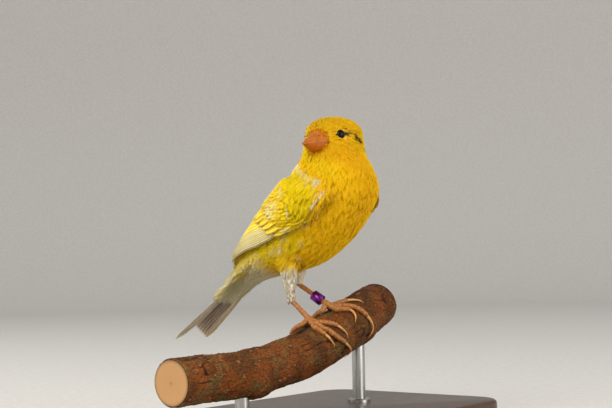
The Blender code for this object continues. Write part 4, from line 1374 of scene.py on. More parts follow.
@dataclass
class Tail:
    """Twelve tail feathers in a shallow fork, each lying under its inner neighbour."""

    trunk: Trunk
    length: float = 28.4
    pairs: int = 6
    tip_spacing: float = 1.6
    root_spacing: float = 0.95
    step: float = 0.36
    fork: float = 0.8
    half_width: float = 2.75
    start: float = 1.2
    top: float = 0.9
    arch: float = 0.25
    lap: float = 0.12
    colour: str = "#f4dab8"
    outer_edge: str = "#f2e078"
    shaft: str = "#f8f0d8"
    web: Web = Web(
        barbs=54, rings=3, first=0.04, last=0.93, sweep=0.17, thickness=0.08, cover=1.35, ragged=0.03,
        droop=0.06, shaft=0.24,
        shape=((0, 0.3), (0.25, 0.8), (0.55, 1.0), (0.88, 1.0), (0.96, 0.72), (1, 0.2)))

    def feather(self, side: Side, number: int, rng: np.random.Generator) -> list[tuple]:
        """One feather.

        Args:
            side: The side of the tail that it is on.
            number: Its place, counted from the middle.
            rng: Where the small differences come from.

        Returns:
            Points, faces, tints and map places of the web, and then of the shaft.
        """
        root, away_way, over = self.trunk.tail_frame()
        t = np.linspace(0, 1, 18)
        reach = self.start + t * (self.length + self.fork * number - self.start)
        spacing = self.root_spacing + (self.tip_spacing - self.root_spacing) * t
        spread = (number + 0.5) * spacing * side.value
        drop = self.top - self.step * (number + side.value / 3) - self.arch * number * t
        path = (root + away_way * reach[:, None] + over * drop[:, None] + np.outer(spread, LEFTWARD))[None]
        outs = np.broadcast_to(over, path.shape)
        outer = 1.0 - 0.06 * number
        split = (outer, 1.0) if side is Side.LEFT else (1.0, outer)
        wide = np.array([self.half_width])
        points, faces, owner, away = self.web.build(path, outs, wide, rng, -side.value * self.lap, split)
        barb = owner % self.web.all_barbs
        edged = barb // self.web.barbs == (0 if side is Side.LEFT else 1)
        yellow = (edged * away**0.7 * (0.9 if number > 3 else 0.4))[:, None]
        tint = mix(linear(self.colour), linear(self.outer_edge), yellow)
        tint = tint * rng.uniform(0.93, 1.05, (owner.max() + 1, 1))[owner]
        cell = np.array([0.66 + 0.02 * (number + self.pairs * (side is Side.RIGHT)), 0.93])
        spots = cell + np.stack([0.012 * away, 0.05 * self.web.starts(0.8)[barb]], -1)
        shaft, shaft_faces = self.web.shafts(path, outs)
        shaft_tint = np.broadcast_to(linear(self.shaft), shaft.shape)
        shaft_spots = np.broadcast_to(cell, (len(shaft), 2))
        return [(points, faces, tint, spots), (shaft, shaft_faces, shaft_tint, shaft_spots)]

    def build(self) -> None:
        """Builds the tail as one piece."""
        rng = np.random.default_rng(SEED + 31)
        rows = []
        for side in Side:
            for number in range(self.pairs):
                rows += self.feather(side, number, rng)
        feather_piece("feathers_tail", rows, TAIL_FEATHER, "wing_feather", "tail")


# Skin, eyes and bill


@dataclass
class Skin:
    """The one skin under the coat, over head, neck, body and thighs."""

    coat: Coat
    rings: int = 110
    sides: int = 72
    voxel: float = 0.75
    under: float = 0.12  # how far it lies below the feathers' roots
    thigh_sunk: float = 1.0
    thigh_height: float = 66.0  # below it, the skin is as pale as the thighs

    def build(self) -> None:
        """Builds the skin as one closed surface."""
        trunk, plumage = self.coat.trunk, self.coat.plumage
        around = np.arange(self.sides) * 360 / self.sides
        along = np.linspace(0.6, trunk.crown_at - 0.02, self.rings)[:, None]
        sunk = straight(self.coat.depth, along) + self.under
        parts = [(*tube(trunk.point(along, around, -sunk)), 1.0)]
        parts += [(*tube(thigh.rings(-self.thigh_sunk, 40, 32)), 1.0) for thigh in self.coat.thighs]
        points, faces, _ = joined(parts)
        rough = mesh_object("rough_skin", points, faces, DOWN_SKIN)
        remesh = rough.modifiers.new("skin", "REMESH")
        remesh.mode = "VOXEL"
        remesh.voxel_size = self.voxel * MM
        mesh = bpy.data.meshes.new_from_object(rough.evaluated_get(bpy.context.evaluated_depsgraph_get()))
        bpy.data.objects.remove(rough)
        points = np.empty(len(mesh.vertices) * 3, np.float32)
        mesh.vertices.foreach_get("co", points)
        points = points.reshape(-1, 3) / MM
        faces = [np.array([f.vertices[:] for f in mesh.polygons if len(f.vertices) == n]) for n in (4, 3)]
        _, _, at, turned = self.coat.guide.nearest(points)
        low = (points[:, 2:] < self.thigh_height) & (points[:, 1:2] < 22)
        tint = np.where(low, linear(plumage.cream), plumage.at(np.maximum(at, 0), turned))
        skin = mesh_object("skin", points, [f for f in faces if len(f)], DOWN_SKIN, tint)
        place(skin, "yellow_feather", "head", "neck", "torso", "rump", "thigh_left", "thigh_right")


@dataclass
class Eye:
    """An eyeball with its cornea, and the bare rims of its lids."""

    trunk: Trunk
    side: Side
    radius: float = 1.95
    proud: float = 0.12
    cornea_rise: float = 0.05
    cornea_edge: float = 38.0  # in degrees from the pupil's middle, as are the next three
    pupil: float = 34.0
    iris: float = 52.0
    opening: float = 51.0
    rim: float = 0.2
    rings: int = 40
    sides: int = 48
    colours: tuple = ("#020202", "#180d07", "#0a0706")  # pupil, iris and rim
    lid_tint: tuple = (0.06, 0.035, 0.03)

    def build(self) -> None:
        """Builds the eyeball and its lids."""
        place_of = self.trunk.eye(self.side)
        out = self.trunk.normal(*place_of)
        centre = self.trunk.point(*place_of, self.proud - self.radius)
        angle = np.radians(np.linspace(179, 1, self.rings))
        cornea = self.radius * (1 + self.cornea_rise * np.exp(-((np.degrees(angle) / self.cornea_edge) ** 4)))
        path = centre + np.outer(np.cos(angle) * cornea, out)
        rings = tube_rings(path, np.sin(angle) * cornea, self.sides)
        from_pupil = np.degrees(np.concatenate([np.repeat(angle, self.sides), [np.pi, 0.0]]))[:, None]
        dark, brown, rim = (linear(c) for c in self.colours)
        tint = np.where(from_pupil < self.pupil, dark, np.where(from_pupil < self.iris, brown, rim))
        place(mesh_object("eyeball_" + self.side.word, *tube(rings), EYE_GLAZE, tint), "eye_black",
              "eye_" + self.side.word)
        fore = unit(np.cross(UP, out))
        spoke, turn = fan(fore, np.cross(out, fore), 64)
        opening = np.radians(self.opening + 5 * np.abs(np.cos(turn)) ** 3)[:, None]
        lean = out * np.cos(opening) + spoke * np.sin(opening)
        cross = out * -np.sin(opening) + spoke * np.cos(opening)
        thick = self.rim * (1 + 0.12 * np.sin(turn * 9))[:, None, None]
        section, _ = fan(lean[:, None], cross[:, None], 10)
        rings = (centre + (self.radius + 0.06) * lean)[:, None] + thick * section
        tint = np.broadcast_to(self.lid_tint, (rings.size // 3, 3))
        closed_piece("eyelids_" + self.side.word, loop(rings), LEG_SKIN, "eye_black", tint=tint)


@dataclass
class Bill:
    """The two halves of the bill, with its nostrils and the line of the mouth."""

    trunk: Trunk
    tip: float = 20.6
    droop: float = 1.6
    half_width: float = 5.3
    upper_depth: float = 5.6
    lower_depth: float = 5.2
    lower_share: float = 0.94
    taper: float = 0.88
    gap: float = 0.1
    nostril: tuple = (0.36, 0.72, 0.68)  # share of the length, across and up
    rings: int = 72
    arc: int = 40

    def half(self, upper: bool) -> None:
        """Builds one half.

        Args:
            upper: Whether it is the upper one.
        """
        centre, left, back = self.trunk.bill_section()
        bend, share, depth = (1, 1.0, self.upper_depth) if upper else (-1, self.lower_share, self.lower_depth)
        t = 1 - np.linspace(1, 0, self.rings) ** 1.35
        reach = self.trunk.bill_root + (self.tip - self.trunk.bill_root) * t * share
        line = self.trunk.bill_height - self.droop * t * share - centre[2] + bend * self.gap / 2
        narrow = np.sqrt(np.clip(1 - t**1.5, 0.004, 1))
        axis = centre - back * reach[:, None] + UP * line[:, None]
        wide = (self.half_width * (1 - self.taper * t) * narrow**0.3)[:, None]
        deep = (depth * (1 - self.taper * t) * narrow**0.5)[:, None]
        arc = np.radians(np.linspace(0, 180, self.arc))
        ridge = 1 + (0.035 if upper else 0.0) * bell(arc, np.pi / 2, 0.22)
        lip = 0.16 if upper else -0.05
        across, up = wide * np.cos(arc), deep * np.sin(arc) * ridge * bend
        up = up - lip * bend * bell(np.minimum(arc, np.pi - arc), 0, 0.25) * (1 - t[:, None])
        floor = np.linspace(-0.86, 0.86, 9)
        across = np.concatenate([across, wide * floor], 1)
        up = np.concatenate([up, 0.07 * deep * bend * np.cos(floor * np.pi / 2)], 1)
        rings = axis[:, None] + left * across[..., None] + UP * up[..., None]
        tint = np.ones((*rings.shape[:2], 3))
        tint *= (1.05 - 0.28 * np.exp(-((1 - t[:, None, None]) / 0.1))) * np.array((1.0, 0.97, 0.95))
        tint *= 1 - ease(1 - t, 0.55, 0.95)[:, None, None] * np.array((0.1, 0.2, 0.25))
        if upper:
            i = int(np.argmin(np.abs(t - self.nostril[0])))
            for side in Side:
                spot = axis[i] + left * side.value * wide[i] * self.nostril[1]
                spot = spot + UP * deep[i] * self.nostril[2]
                near = bell(np.linalg.norm(rings - spot, axis=-1), 0, 0.38)[..., None]
                rings = rings + unit(axis[i] - spot) * near * 0.45
                # painted shade: each nostril's dent darkened for the shade in its opening
                tint = tint * (1 - 0.75 * near)
            rings, tint = rings[:, ::-1], tint[:, ::-1]
        else:
            tint = tint * np.array((0.93, 0.82, 0.74))
        tint = np.concatenate([tint.reshape(-1, 3), [[1, 1, 1]], [[0.8, 0.8, 0.8]]])
        name = "bill_upper" if upper else "bill_lower"
        closed_piece(name + "_horn", tube(rings), BILL_HORN, "bill_horn", (name,), tint, sharp=60)

    def build(self) -> None:
        """Builds both halves."""
        self.half(True)
        self.half(False)


# Legs and feet


@dataclass
class Branch:
    """The cut length of branch, with its bends, knots and bark."""

    route: tuple = (
        (-78.0, 0.5, 24.8, 7.8),
        (-45.0, 0.5, 25.2, 7.7),
        (-17.0, -0.5, 28.3, 8.1),
        (3.0, 0.0, 33.8, 8.8),
        (23.0, 1.5, 40.2, 8.8),
        (43.0, 3.6, 46.2, 8.3),
    )
    knots: tuple = (  # place across, angle round, height and spread
        (-40.0, 150.0, 1.8, 4.5), (-62.0, 60.0, 0.9, 4.0), (24.0, 165.0, 1.0, 4.0), (-22.0, 20.0, 0.6, 5.0))
    rings: int = 330
    sides: int = 150
    worn_edge: float = 0.35  # how far the bark is worn down at a sawn end
    pith: tuple = (0.6, -0.4)  # the pith's place from the middle
    # the last colour darkens cracks and low places: partly the fissures' own darker bark, partly painted
    # shade in them
    colours: tuple = ("#5a3210", "#743e14", "#664c24", "#180c05")  # brown, red, grey and the cracks' dark

    @property
    def ends(self) -> tuple[float, float]:
        """The places of its two ends."""
        return self.route[0][0], self.route[-1][0]

    def frame_at(self, across: Array) -> tuple[Array, ...]:
        """Centre, run, front and up directions and radius of the branch at each place across."""
        xs, across = [p[0] for p in self.route], np.asarray(across)
        here, after, before = (smooth(xs, self.route, across + step) for step in (0, 0.1, -0.1))
        ahead = after - before
        run = unit(ahead[..., :3])
        front = unit(np.cross(run, UP))
        return here[..., :3], run, front, np.cross(front, run), here[..., 3]

    def point(self, across: Array, around: Array, lift: Array = 0.0) -> Array:
        """A place on the bark, raised. Around is 0 at the top and 90 at the bird's front."""
        across, around, lift = np.broadcast_arrays(*(np.asarray(a, float) for a in (across, around, lift)))
        centre, _, front, up, radius = self.frame_at(across)
        for knot_across, knot_around, height, spread in self.knots:
            turned = np.radians(wrapped(around - knot_around)) * radius
            radius = radius + height * np.exp(-((across - knot_across) ** 2 + turned**2) / (2 * spread**2))
        reach, turn = (radius + lift)[..., None], np.radians(around)[..., None]
        return centre + (up * np.cos(turn) + front * np.sin(turn)) * reach

    def relief(self, across: Array, around: Array) -> tuple[Array, Array]:
        """The bark's own height and how deep each place lies in a crack.

        Args:
            across: Places along the branch.
            around: Angles round it.

        Returns:
            Height in millimetres, and a share from 0 to 1.
        """
        start, end = self.ends
        u = (across - start) / (end - start)
        v = around / 360 + 0.02 * value_noise(u, around / 360, (16, 5), 3)
        ridges, fine, lumps, grit, cracks, parts = (value_noise(u, v, cells, seed) for cells, seed in (
            ((16, 26), 5), ((60, 60), 6), ((26, 9), 7), ((200, 90), 8), ((7, 30), 9), ((14, 8), 10)))
        crack = np.clip(1 - np.abs(cracks) * 8, 0, 1) * ease(parts, -0.1, 0.3)
        height = 0.16 * (1 - np.abs(ridges) * 1.6) + 0.14 * (1 - np.abs(fine) * 1.6)
        height = height + 0.3 * lumps + 0.12 * grit - 0.32 * crack - 0.05
        for knot_across, knot_around, knot_height, spread in self.knots:
            away = np.hypot(across - knot_across, np.radians(wrapped(around - knot_around)) * 8)
            height = height + 0.16 * knot_height * np.cos(away * 1.9) * bell(away, 0, 1.1 * spread)
        return np.clip(height, -0.9, 0.45), crack

    def build(self) -> None:
        """Builds the bark and the two sawn ends."""
        start, end = self.ends
        across = np.linspace(start, end, self.rings)[:, None]
        around = -(np.arange(self.sides) * 360 / self.sides)[None]
        height, crack = self.relief(across, around)
        edge = np.minimum(across - start, end - across)
        height = height * ease(edge, 0, 1.0) - self.worn_edge * (1 - ease(edge, 0, 0.6))
        u = (across - start) / (end - start)
        brown, red, grey, dark = (linear(c) for c in self.colours)
        patch = ease(value_noise(u, around / 360, (20, 7), 12), -0.2, 0.6)[..., None]
        dusty = ease(value_noise(u, around / 360, (34, 12), 13), 0.25, 0.8)[..., None]
        # cracks and low places darkened: partly darker fissure bark, partly painted shade in the hollows
        low = np.clip(0.9 * crack + ease(-height, 0.05, 0.5) * 0.6, 0, 1)[..., None]
        tint = mix(mix(mix(brown, red, patch), grey, 0.6 * dusty), dark, low)
        tint = np.concatenate([tint.reshape(-1, 3), [brown], [brown]])
        shape = tube(self.point(across, around, height))
        closed_piece("branch_bark", shape, BARK, "perch_bark", ("perch",), tint)
        for word, at, way in (("near", start, -1), ("far", end, 1)):
            self.sawn_end(word, at, way)

    def sawn_end(self, word: str, at: float, way: int) -> None:
        """Builds one sawn end.

        Args:
            word: The end's name.
            at: Its place along the branch.
            way: The way it faces along the branch.
        """
        centre, run, front, up, _ = self.frame_at(np.array(at))
        spoke, turn = fan(up, front, 90)
        shares = np.concatenate([[0.3], [0.975], np.linspace(0.985, 0.04, 24)])
        lifts = np.concatenate([[-0.3], [-0.3], np.full(24, 0.06)])
        lifts[3:] += 0.03 * np.sin(np.arange(23) * 2.3)
        rim = self.point(np.array(at), np.degrees(turn), -self.worn_edge) - centre
        rim = np.linalg.norm(rim, axis=-1)[:, None] * shares[:, None, None]
        rings = centre + spoke * rim + run * (way * lifts)[:, None, None]
        spots = np.stack([np.cos(turn), np.sin(turn)], -1) * rim + self.pith
        spots = np.concatenate([spots.reshape(-1, 2), [self.pith], [self.pith]])
        shade = np.interp(shares, (0, 0.12, 0.85, 0.93, 1.0), (0.6, 0.95, 1.0, 0.75, 0.35))
        tint = ring_tint(shade, 90, (1.0, 0.6))
        closed_piece("branch_sawn_end_" + word, tube(rings), END_GRAIN, "perch_bark", tint=tint,
                     maps={"rings": spots}, sharp=40)


@dataclass
class Thigh:
    """The feathered part of a leg."""

    side: Side
    hip: tuple
    heel: tuple
    radii: tuple = (2.6, 3.5, 3.3, 2.8, 2.3, 1.8, 1.4)
    bend: float = 0.55
    strand: float = 0.15
    colour: str = "#fbf3d6"
    top_colour: str = "#f8d838"

    def axis(self, count: int) -> tuple[Array, Array]:
        """The thigh's middle line and its radius at each point."""
        hip, heel = np.array(self.hip), np.array(self.heel)
        radii = np.interp(np.linspace(0, 1, count), np.linspace(0, 1, 7), self.radii)
        return through([hip, hip + (heel - hip) * self.bend, heel], count), radii

    def top(self) -> tuple[Array, Array]:
        """Balls that fill the thigh's upper part, as their middles and radii."""
        (path, radii), share = self.axis(21), np.linspace(0, 0.5, 11)
        return path[:11], radii[:11] * (1 - 0.9 * ease(share, 0.28, 0.5))

    def rings(self, lift: float, count: int, sides: int) -> Array:
        """Rings round the thigh, raised off its surface.

        Args:
            lift: How far they are raised.
            count: How many rings.
            sides: Points in each.

        Returns:
            The rings' points.
        """
        path, radii = self.axis(count)
        return tube_rings(path, np.maximum(radii + lift, 0.5), sides, LEFTWARD)

    def build(self, web: Web) -> None:
        """Builds the thigh's feathers.

        Args:
            web: How each feather is built.
        """
        rng = np.random.default_rng(SEED + 50 + self.side.value)
        count, sides, fine = 30, 13, 120
        share = np.linspace(0, 1, 6)
        inner, outer = (self.rings(lift, fine + 1, fine) for lift in (-0.8, 0.0))
        down_it = np.array(self.heel) - np.array(self.hip)
        paths, outs, spots, roots = [], [], [], []
        for i, at in enumerate(np.linspace(0.06, 0.93, count)):
            for j in range(sides):
                turn = (j + 0.5 * (i % 2) + rng.uniform(-0.25, 0.25)) / sides
                t = at + rng.uniform(0.30, 0.4) * (1 - 0.35 * at) * share
                k, column = np.minimum(t, 1.0) * fine, int(turn * fine) % fine
                low = k.astype(int)
                inside, outside = (mix(r[low, column], r[np.minimum(low + 1, fine), column], (k % 1)[:, None])
                                   for r in (inner, outer))
                rise = ease(share, 0, 0.5)[:, None] * rng.uniform(0.7, 1.05)
                paths.append(mix(inside, outside, rise) + down_it * np.maximum(t - 1, 0)[:, None] * 0.9)
                outs.append(unit(outside - inside))
                spots.append((0.02 + 0.3 * (self.side is Side.LEFT) + 0.28 * turn, 0.005))
                roots.append(at)
        paths, outs = np.array(paths), np.array(outs)
        length = np.linalg.norm(paths[:, -1] - paths[:, 0], axis=-1)
        strand = np.full(len(paths), self.strand)
        points, faces, owner, away = web.build(paths, outs, length * 0.22 + 0.2, rng, strand=strand)
        down = ease(np.array(roots), 0.0, 0.26)[:, None]
        base = mix(linear(self.top_colour), linear(self.colour), down)
        base = base * rng.uniform(0.88, 1.06, (len(paths), 1))
        maps = {"OFBake": patch_map(np.array(spots), owner, away, web.all_barbs)}
        name, tint = "coat_thigh_" + self.side.word, base[owner // web.all_barbs]
        place(mesh_object(name, points, [faces], BODY_FEATHER, tint, maps), "pale_feather")


@dataclass
class Leg:
    """A shank with its toes and claws. Toes are places along the branch and angles round it."""

    branch: Branch
    side: Side
    joint: tuple
    heel: tuple
    hip: tuple
    toes: dict
    shank_radius: float = 0.86
    heel_gap: float = 1.1
    pad_radius: float = 1.4
    joints: tuple = (0, 0.2, 0.4)  # shares of a toe's length, and the last joint is at its claw
    toe_radii: tuple = (1.05, 0.92, 0.96, 0.8)
    claw_radii: tuple = (0.58, 0.46, 0.3, 0.05)
    toe_share: float = 0.62
    grip: float = 0.1  # between a toe's pads and the bark

    def bent(self) -> tuple[Array, Array]:
        """The way that the shank leaves the thigh, and the place where it does."""
        heel, hip = np.array(self.heel), np.array(self.hip)
        way = unit(heel - (hip + (heel - hip) * 0.55))
        return way, heel + way * self.heel_gap

    def shank(self) -> None:
        """Builds the shank, with a low ridge for each scute down its front."""
        heel, joint = np.array(self.heel), np.array(self.joint)
        way, start = self.bent()
        rings, sides, scutes = 90, 20, 11
        path = through([heel, start, mix(joint, start, 0.6), joint], rings - 1)
        path = np.concatenate([[heel - way * 1.2], path])
        t = np.linspace(0, 1, rings)
        swell = (1.35, 1.3, 1.02, 0.98, 1.15, 1.3)
        radii = self.shank_radius * np.interp(t, (0, 0.1, 0.3, 0.7, 0.93, 1), swell)
        turn = np.arange(sides) * 2 * np.pi / sides
        down_scute = ((t * scutes) % 1)[:, None]
        reach = radii[:, None] + 0.07 * (1 - down_scute) + 0.03 * np.cos(turn * 2)
        tint = ring_tint(0.85 + 0.25 * down_scute, sides)
        shape, word = tube(tube_rings(path, reach, sides, LEFTWARD)), self.side.word
        closed_piece("shank_" + word, shape, LEG_SKIN, "leg_skin", ("tarsus_" + word,), tint)

    def toe_path(self, key: str) -> tuple[Array, Array]:
        """A toe's and claw's middle line, and the distance along it.

        Args:
            key: The toe.

        Returns:
            Points and distances.
        """
        across, around = through(self.toes[key], 60).T
        radii = (*self.toe_radii, 0.75, 0.35)
        swell = np.interp(np.linspace(0, 1, 60), (*self.joints, self.toe_share, 0.8, 1), radii)
        over = self.branch.point(across, around, swell + self.grip)
        path = np.concatenate([through([self.joint, over[0]], 8)[:-1], over])
        return path, np.concatenate([[0], np.cumsum(np.linalg.norm(np.diff(path, axis=0), axis=1))])

    def stretch(self, line: Array, radii: Array, sides: int, shade: Array) -> tuple:
        """A stretch of toe or claw.

        Args:
            line: Its middle line.
            radii: Its radius at each point.
            sides: Points in each ring.
            shade: How light it is at each ring.

        Returns:
            Points, faces and tints.
        """
        return *tube(tube_rings(line, radii, sides, (1.0, 0.2, 0))), ring_tint(shade, sides)

    def build(self) -> None:
        """Builds the shank, the foot and its claws."""
        self.shank()
        feet, claws, plates = [], [], []
        for key in self.toes:
            path, away = self.toe_path(key)
            ends = away[-1] * self.toe_share

            def read(at: Array) -> Array:
                """The toe's middle line at distances along it."""
                return np.stack([np.interp(at, away, path[:, i]) for i in range(3)], -1)

            at = np.linspace(0.0, ends, 46)
            t = at / away[-1]
            pads = 0.96 + 0.1 * np.abs(np.sin(t / self.toe_share * np.pi * 3.0))
            places = (*self.joints, self.toe_share * 0.97, self.toe_share)
            radii = np.interp(t, places, (*self.toe_radii, 0.62))
            feet.append(self.stretch(read(at), radii * pads, 16, 0.95 - 0.1 * np.cos(t * 60)))
            radii = np.interp(np.linspace(0, 1, 30), (0, 0.3, 0.7, 1), self.claw_radii)
            line = read(np.linspace(ends - 0.5, away[-1], 30))
            claws.append(self.stretch(line, radii, 14, np.linspace(1.05, 0.7, 30)))
            inside = self.branch.frame_at(through(self.toes[key], 60)[:, 0].mean())[0]
            for number in np.linspace(0.1, 0.95, 9 if key != "hallux" else 6):
                spot = read(ends * number)
                run = unit(read(ends * number + 0.3) - spot)
                radius = np.interp(number * self.toe_share, (*self.joints, self.toe_share), self.toe_radii)
                out = unit(spot - inside - run * ((spot - inside) @ run))
                plates.append((spot + out * radius * 0.62, out, run, radius))
        lean = np.linspace(-1.45, 1.45, 14)
        pad = np.array(self.joint) + np.outer(np.sin(lean), UP * self.pad_radius)
        feet.append((*tube(tube_rings(pad, np.cos(lean) * self.pad_radius, 24, LEFTWARD)), 1.0))
        word = self.side.word
        points, faces, tint = joined(feet)
        nodes = ["foot_" + word, "hallux_" + word]
        closed_piece("toes_" + word, (points, faces), LEG_SKIN, "leg_skin", nodes, tint)
        points, faces, tint = joined(claws)
        nodes = ["claw_" + word + "_" + key for key in self.toes]
        closed_piece("claws_" + word, (points, faces), CLAW_HORN, "claw_horn", nodes, tint)
        spots, outs, lies, sizes = (np.array([p[i] for p in plates]) for i in range(4))
        piece = set_out("scutes_" + word, spots, outs, lies, sizes, scute_shape(), LEG_SKIN, spread=0.08)
        place(piece, "leg_skin")


@dataclass
class LegRing:
    """The bare metal ring on the left shank."""

    inner: float = 1.55
    outer: float = 2.05
    height: float = 4.2
    soft: float = 0.12  # how far its edges are rounded
    sides: int = 72
    at: float = 0.69
    hang: float = 0.12

    def build(self, leg: Leg) -> None:
        """Builds the ring.

        Args:
            leg: The leg that wears it.
        """
        _, start = leg.bent()
        down_it = np.array(leg.joint) - start
        ahead = unit(down_it)
        side = unit(np.cross(ahead, LEFTWARD))
        spoke, _ = fan(side, np.cross(ahead, side), self.sides)
        half = self.height / 2
        low = ((self.inner, self.soft - half), (self.inner + self.soft, -half),
               (self.outer - self.soft, -half), (self.outer, self.soft - half))
        outline = low + tuple((radius, -at) for radius, at in reversed(low))
        middle = start + down_it * self.at - UP * self.hang
        rings = np.array([middle + ahead * at + spoke * radius for radius, at in outline])
        closed_piece("ring_anodised", loop(rings), ANODISED, "ring_purple", ("leg_ring",), sharp=50)


# Shapes set out by Geometry Nodes


def scute_shape() -> bpy.types.Object:
    """One scute, a low curved plate about 1 across, lying along Y and facing Z.

    Returns:
        The scute's object, to be removed after use.
    """
    rows, columns = 5, 7
    v, u = np.meshgrid(np.linspace(-0.5, 0.5, rows), np.linspace(-1, 1, columns), indexing="ij")
    turn = u * 1.1
    high = 1.04 + 0.1 * (0.5 - v) - 0.05 * (np.abs(v) > 0.49)
    points = [
        np.stack([np.sin(turn) * reach, v * (1 - 0.15 * u * u), np.cos(turn) * reach - 0.62], -1)
        for reach in (high, 0.8)]
    number = np.arange(rows * columns).reshape(rows, columns)
    corner = number[:-1, :-1].ravel()
    over = np.stack([corner, corner + 1, corner + columns + 1, corner + columns], -1)
    edge = np.concatenate([number[0], number[1:, -1], number[-1, -2::-1], number[-2:0:-1, 0]])
    after, size = np.roll(edge, -1), rows * columns
    sides = np.stack([after, edge, edge + size, after + size], -1)
    points = np.concatenate(points).reshape(-1, 3)
    shape = mesh_object("scute", points, [over, over[:, ::-1] + size, sides], LEG_SKIN)
    outward(shape)
    return shape


def bristle_shape() -> bpy.types.Object:
    """One bristle or flake, a thin curved spike of length 1 along Y.

    Returns:
        The bristle's object, to be removed after use.
    """
    t = np.linspace(0, 1, 6)
    path = np.stack([0 * t, t, 0.12 * np.sin(t * np.pi)], -1)[None]
    outs = np.broadcast_to(UP, path.shape)
    points, faces = blades(path, outs, 0.06 * (1 - t * 0.8)[None], 0.05 * (1 - t * 0.7)[None])
    return mesh_object("bristle", points, [faces], BODY_FEATHER)


def flake_shape() -> bpy.types.Object:
    """One flake of bark, a thin ragged plate about 1 long along Y.

    Returns:
        The flake's object, to be removed after use.
    """
    turn = np.arange(9) * 2 * np.pi / 9
    ragged = 1 + 0.22 * np.sin(turn * 2.0 + 0.7) + 0.12 * np.cos(turn * 3)
    high = 0.02 + 0.03 * np.sin(turn * 2)
    outline = np.stack([0.22 * np.cos(turn) * ragged, 0.5 * np.sin(turn) * ragged, high], -1)
    under, over = outline * (0.8, 0.8, 0) - UP * 0.06, outline * (0.86, 0.86, 1) + UP * 0.05
    rings = np.array([under, outline, over])
    points, faces = tube(rings)
    shape = mesh_object("flake", points, faces, BARK, np.broadcast_to(linear("#8a5a36"), points.shape))
    outward(shape)
    return shape


def setting_tree(finish: Finish) -> bpy.types.NodeTree:
    """A tree that sets a shape on each point of a mesh, turned and sized by the point's own attributes.

    Args:
        finish: What the shapes are made of.

    Returns:
        The tree, whose inputs are the shape, the spread of its sizes and the seed.
    """
    tree = bpy.data.node_groups.new("set_out_" + finish.name, "GeometryNodeTree")
    for name, way, kind in (
        ("Geometry", "INPUT", "Geometry"), ("Shape", "INPUT", "Object"), ("Spread", "INPUT", "Float"),
        ("Seed", "INPUT", "Int"), ("Geometry", "OUTPUT", "Geometry"),
    ):
        tree.interface.new_socket(name, in_out=way, socket_type="NodeSocket" + kind)
    given = add_node(tree, "NodeGroupInput").outputs
    shape = add_node(tree, "GeometryNodeObjectInfo", {"Object": given["Shape"]}).outputs["Geometry"]
    out, lie, size = (
        add_node(tree, "GeometryNodeInputNamedAttribute", {"Name": name}, data_type=kind).outputs[0]
        for name, kind in (("out", "FLOAT_VECTOR"), ("lie", "FLOAT_VECTOR"), ("size", "FLOAT")))
    facing = add_node(tree, "FunctionNodeAlignRotationToVector", {"Vector": out}, axis="Z").outputs[0]
    turned = add_node(tree, "FunctionNodeAlignRotationToVector", {"Rotation": facing, "Vector": lie},
                      axis="Y", pivot_axis="Z").outputs[0]
    low, high = (add_node(tree, "ShaderNodeMath", {0: 1.0, 1: given["Spread"]}, operation=sum_kind).outputs[0]
                 for sum_kind in ("SUBTRACT", "ADD"))
    vary = add_node(tree, "FunctionNodeRandomValue", {2: low, 3: high, "Seed": given["Seed"]},
                    data_type="FLOAT").outputs[1]
    scale = add_node(tree, "ShaderNodeMath", {0: size, 1: vary}, operation="MULTIPLY").outputs[0]
    set_on = add_node(tree, "GeometryNodeInstanceOnPoints", {
        "Points": given["Geometry"], "Instance": shape, "Rotation": turned, "Scale": scale}).outputs[0]
    real = add_node(tree, "GeometryNodeRealizeInstances", {"Geometry": set_on}).outputs[0]
    dressed = add_node(tree, "GeometryNodeSetMaterial", {
        "Geometry": real, "Material": finish.material()}).outputs[0]
    add_node(tree, "NodeGroupOutput", {"Geometry": dressed})
    return tree


def set_out(
    name: str, spots: Array, outs: Array, lies: Array, sizes: Array, shape: bpy.types.Object, finish: Finish,
    spread: float,
) -> bpy.types.Object:
    """Sets a shape on many places by Geometry Nodes and makes them one plain mesh. The shape is removed.

    Args:
        name: The piece's name.
        spots: The places, in millimetres.
        outs: The outward direction at each.
        lies: The way that each lies.
        sizes: How long each is.
        shape: The shape, made at the origin with lengths of 1.
        finish: What it is made of.
        spread: How much the sizes differ, as a share.

    Returns:
        The finished piece.
    """
    holder = mesh_object(name + "_points", spots, [np.zeros((0, 3), int)], finish)
    for title, kind, field_name, values in (
        ("out", "FLOAT_VECTOR", "vector", outs), ("lie", "FLOAT_VECTOR", "vector", lies),
        ("size", "FLOAT", "value", sizes),
    ):
        stored = holder.data.attributes.new(title, kind, "POINT").data
        stored.foreach_set(field_name, np.asarray(values, float).ravel())
    modifier = holder.modifiers.new("set_out", "NODES")
    modifier.node_group = setting_tree(finish)
    wanted = {"Shape": shape, "Spread": spread, "Seed": SEED}
    for item in modifier.node_group.interface.items_tree:
        if item.in_out == "INPUT" and item.name in wanted:
            modifier[item.identifier] = wanted[item.name]
    bpy.context.view_layer.update()
    mesh = bpy.data.meshes.new_from_object(holder.evaluated_get(bpy.context.evaluated_depsgraph_get()))
    holder.modifiers.remove(modifier)
    bpy.data.objects.remove(holder)
    bpy.data.objects.remove(shape)
    mesh.name = name
    made = bpy.data.objects.new(name, mesh)
    bpy.context.scene.collection.objects.link(made)
    return made


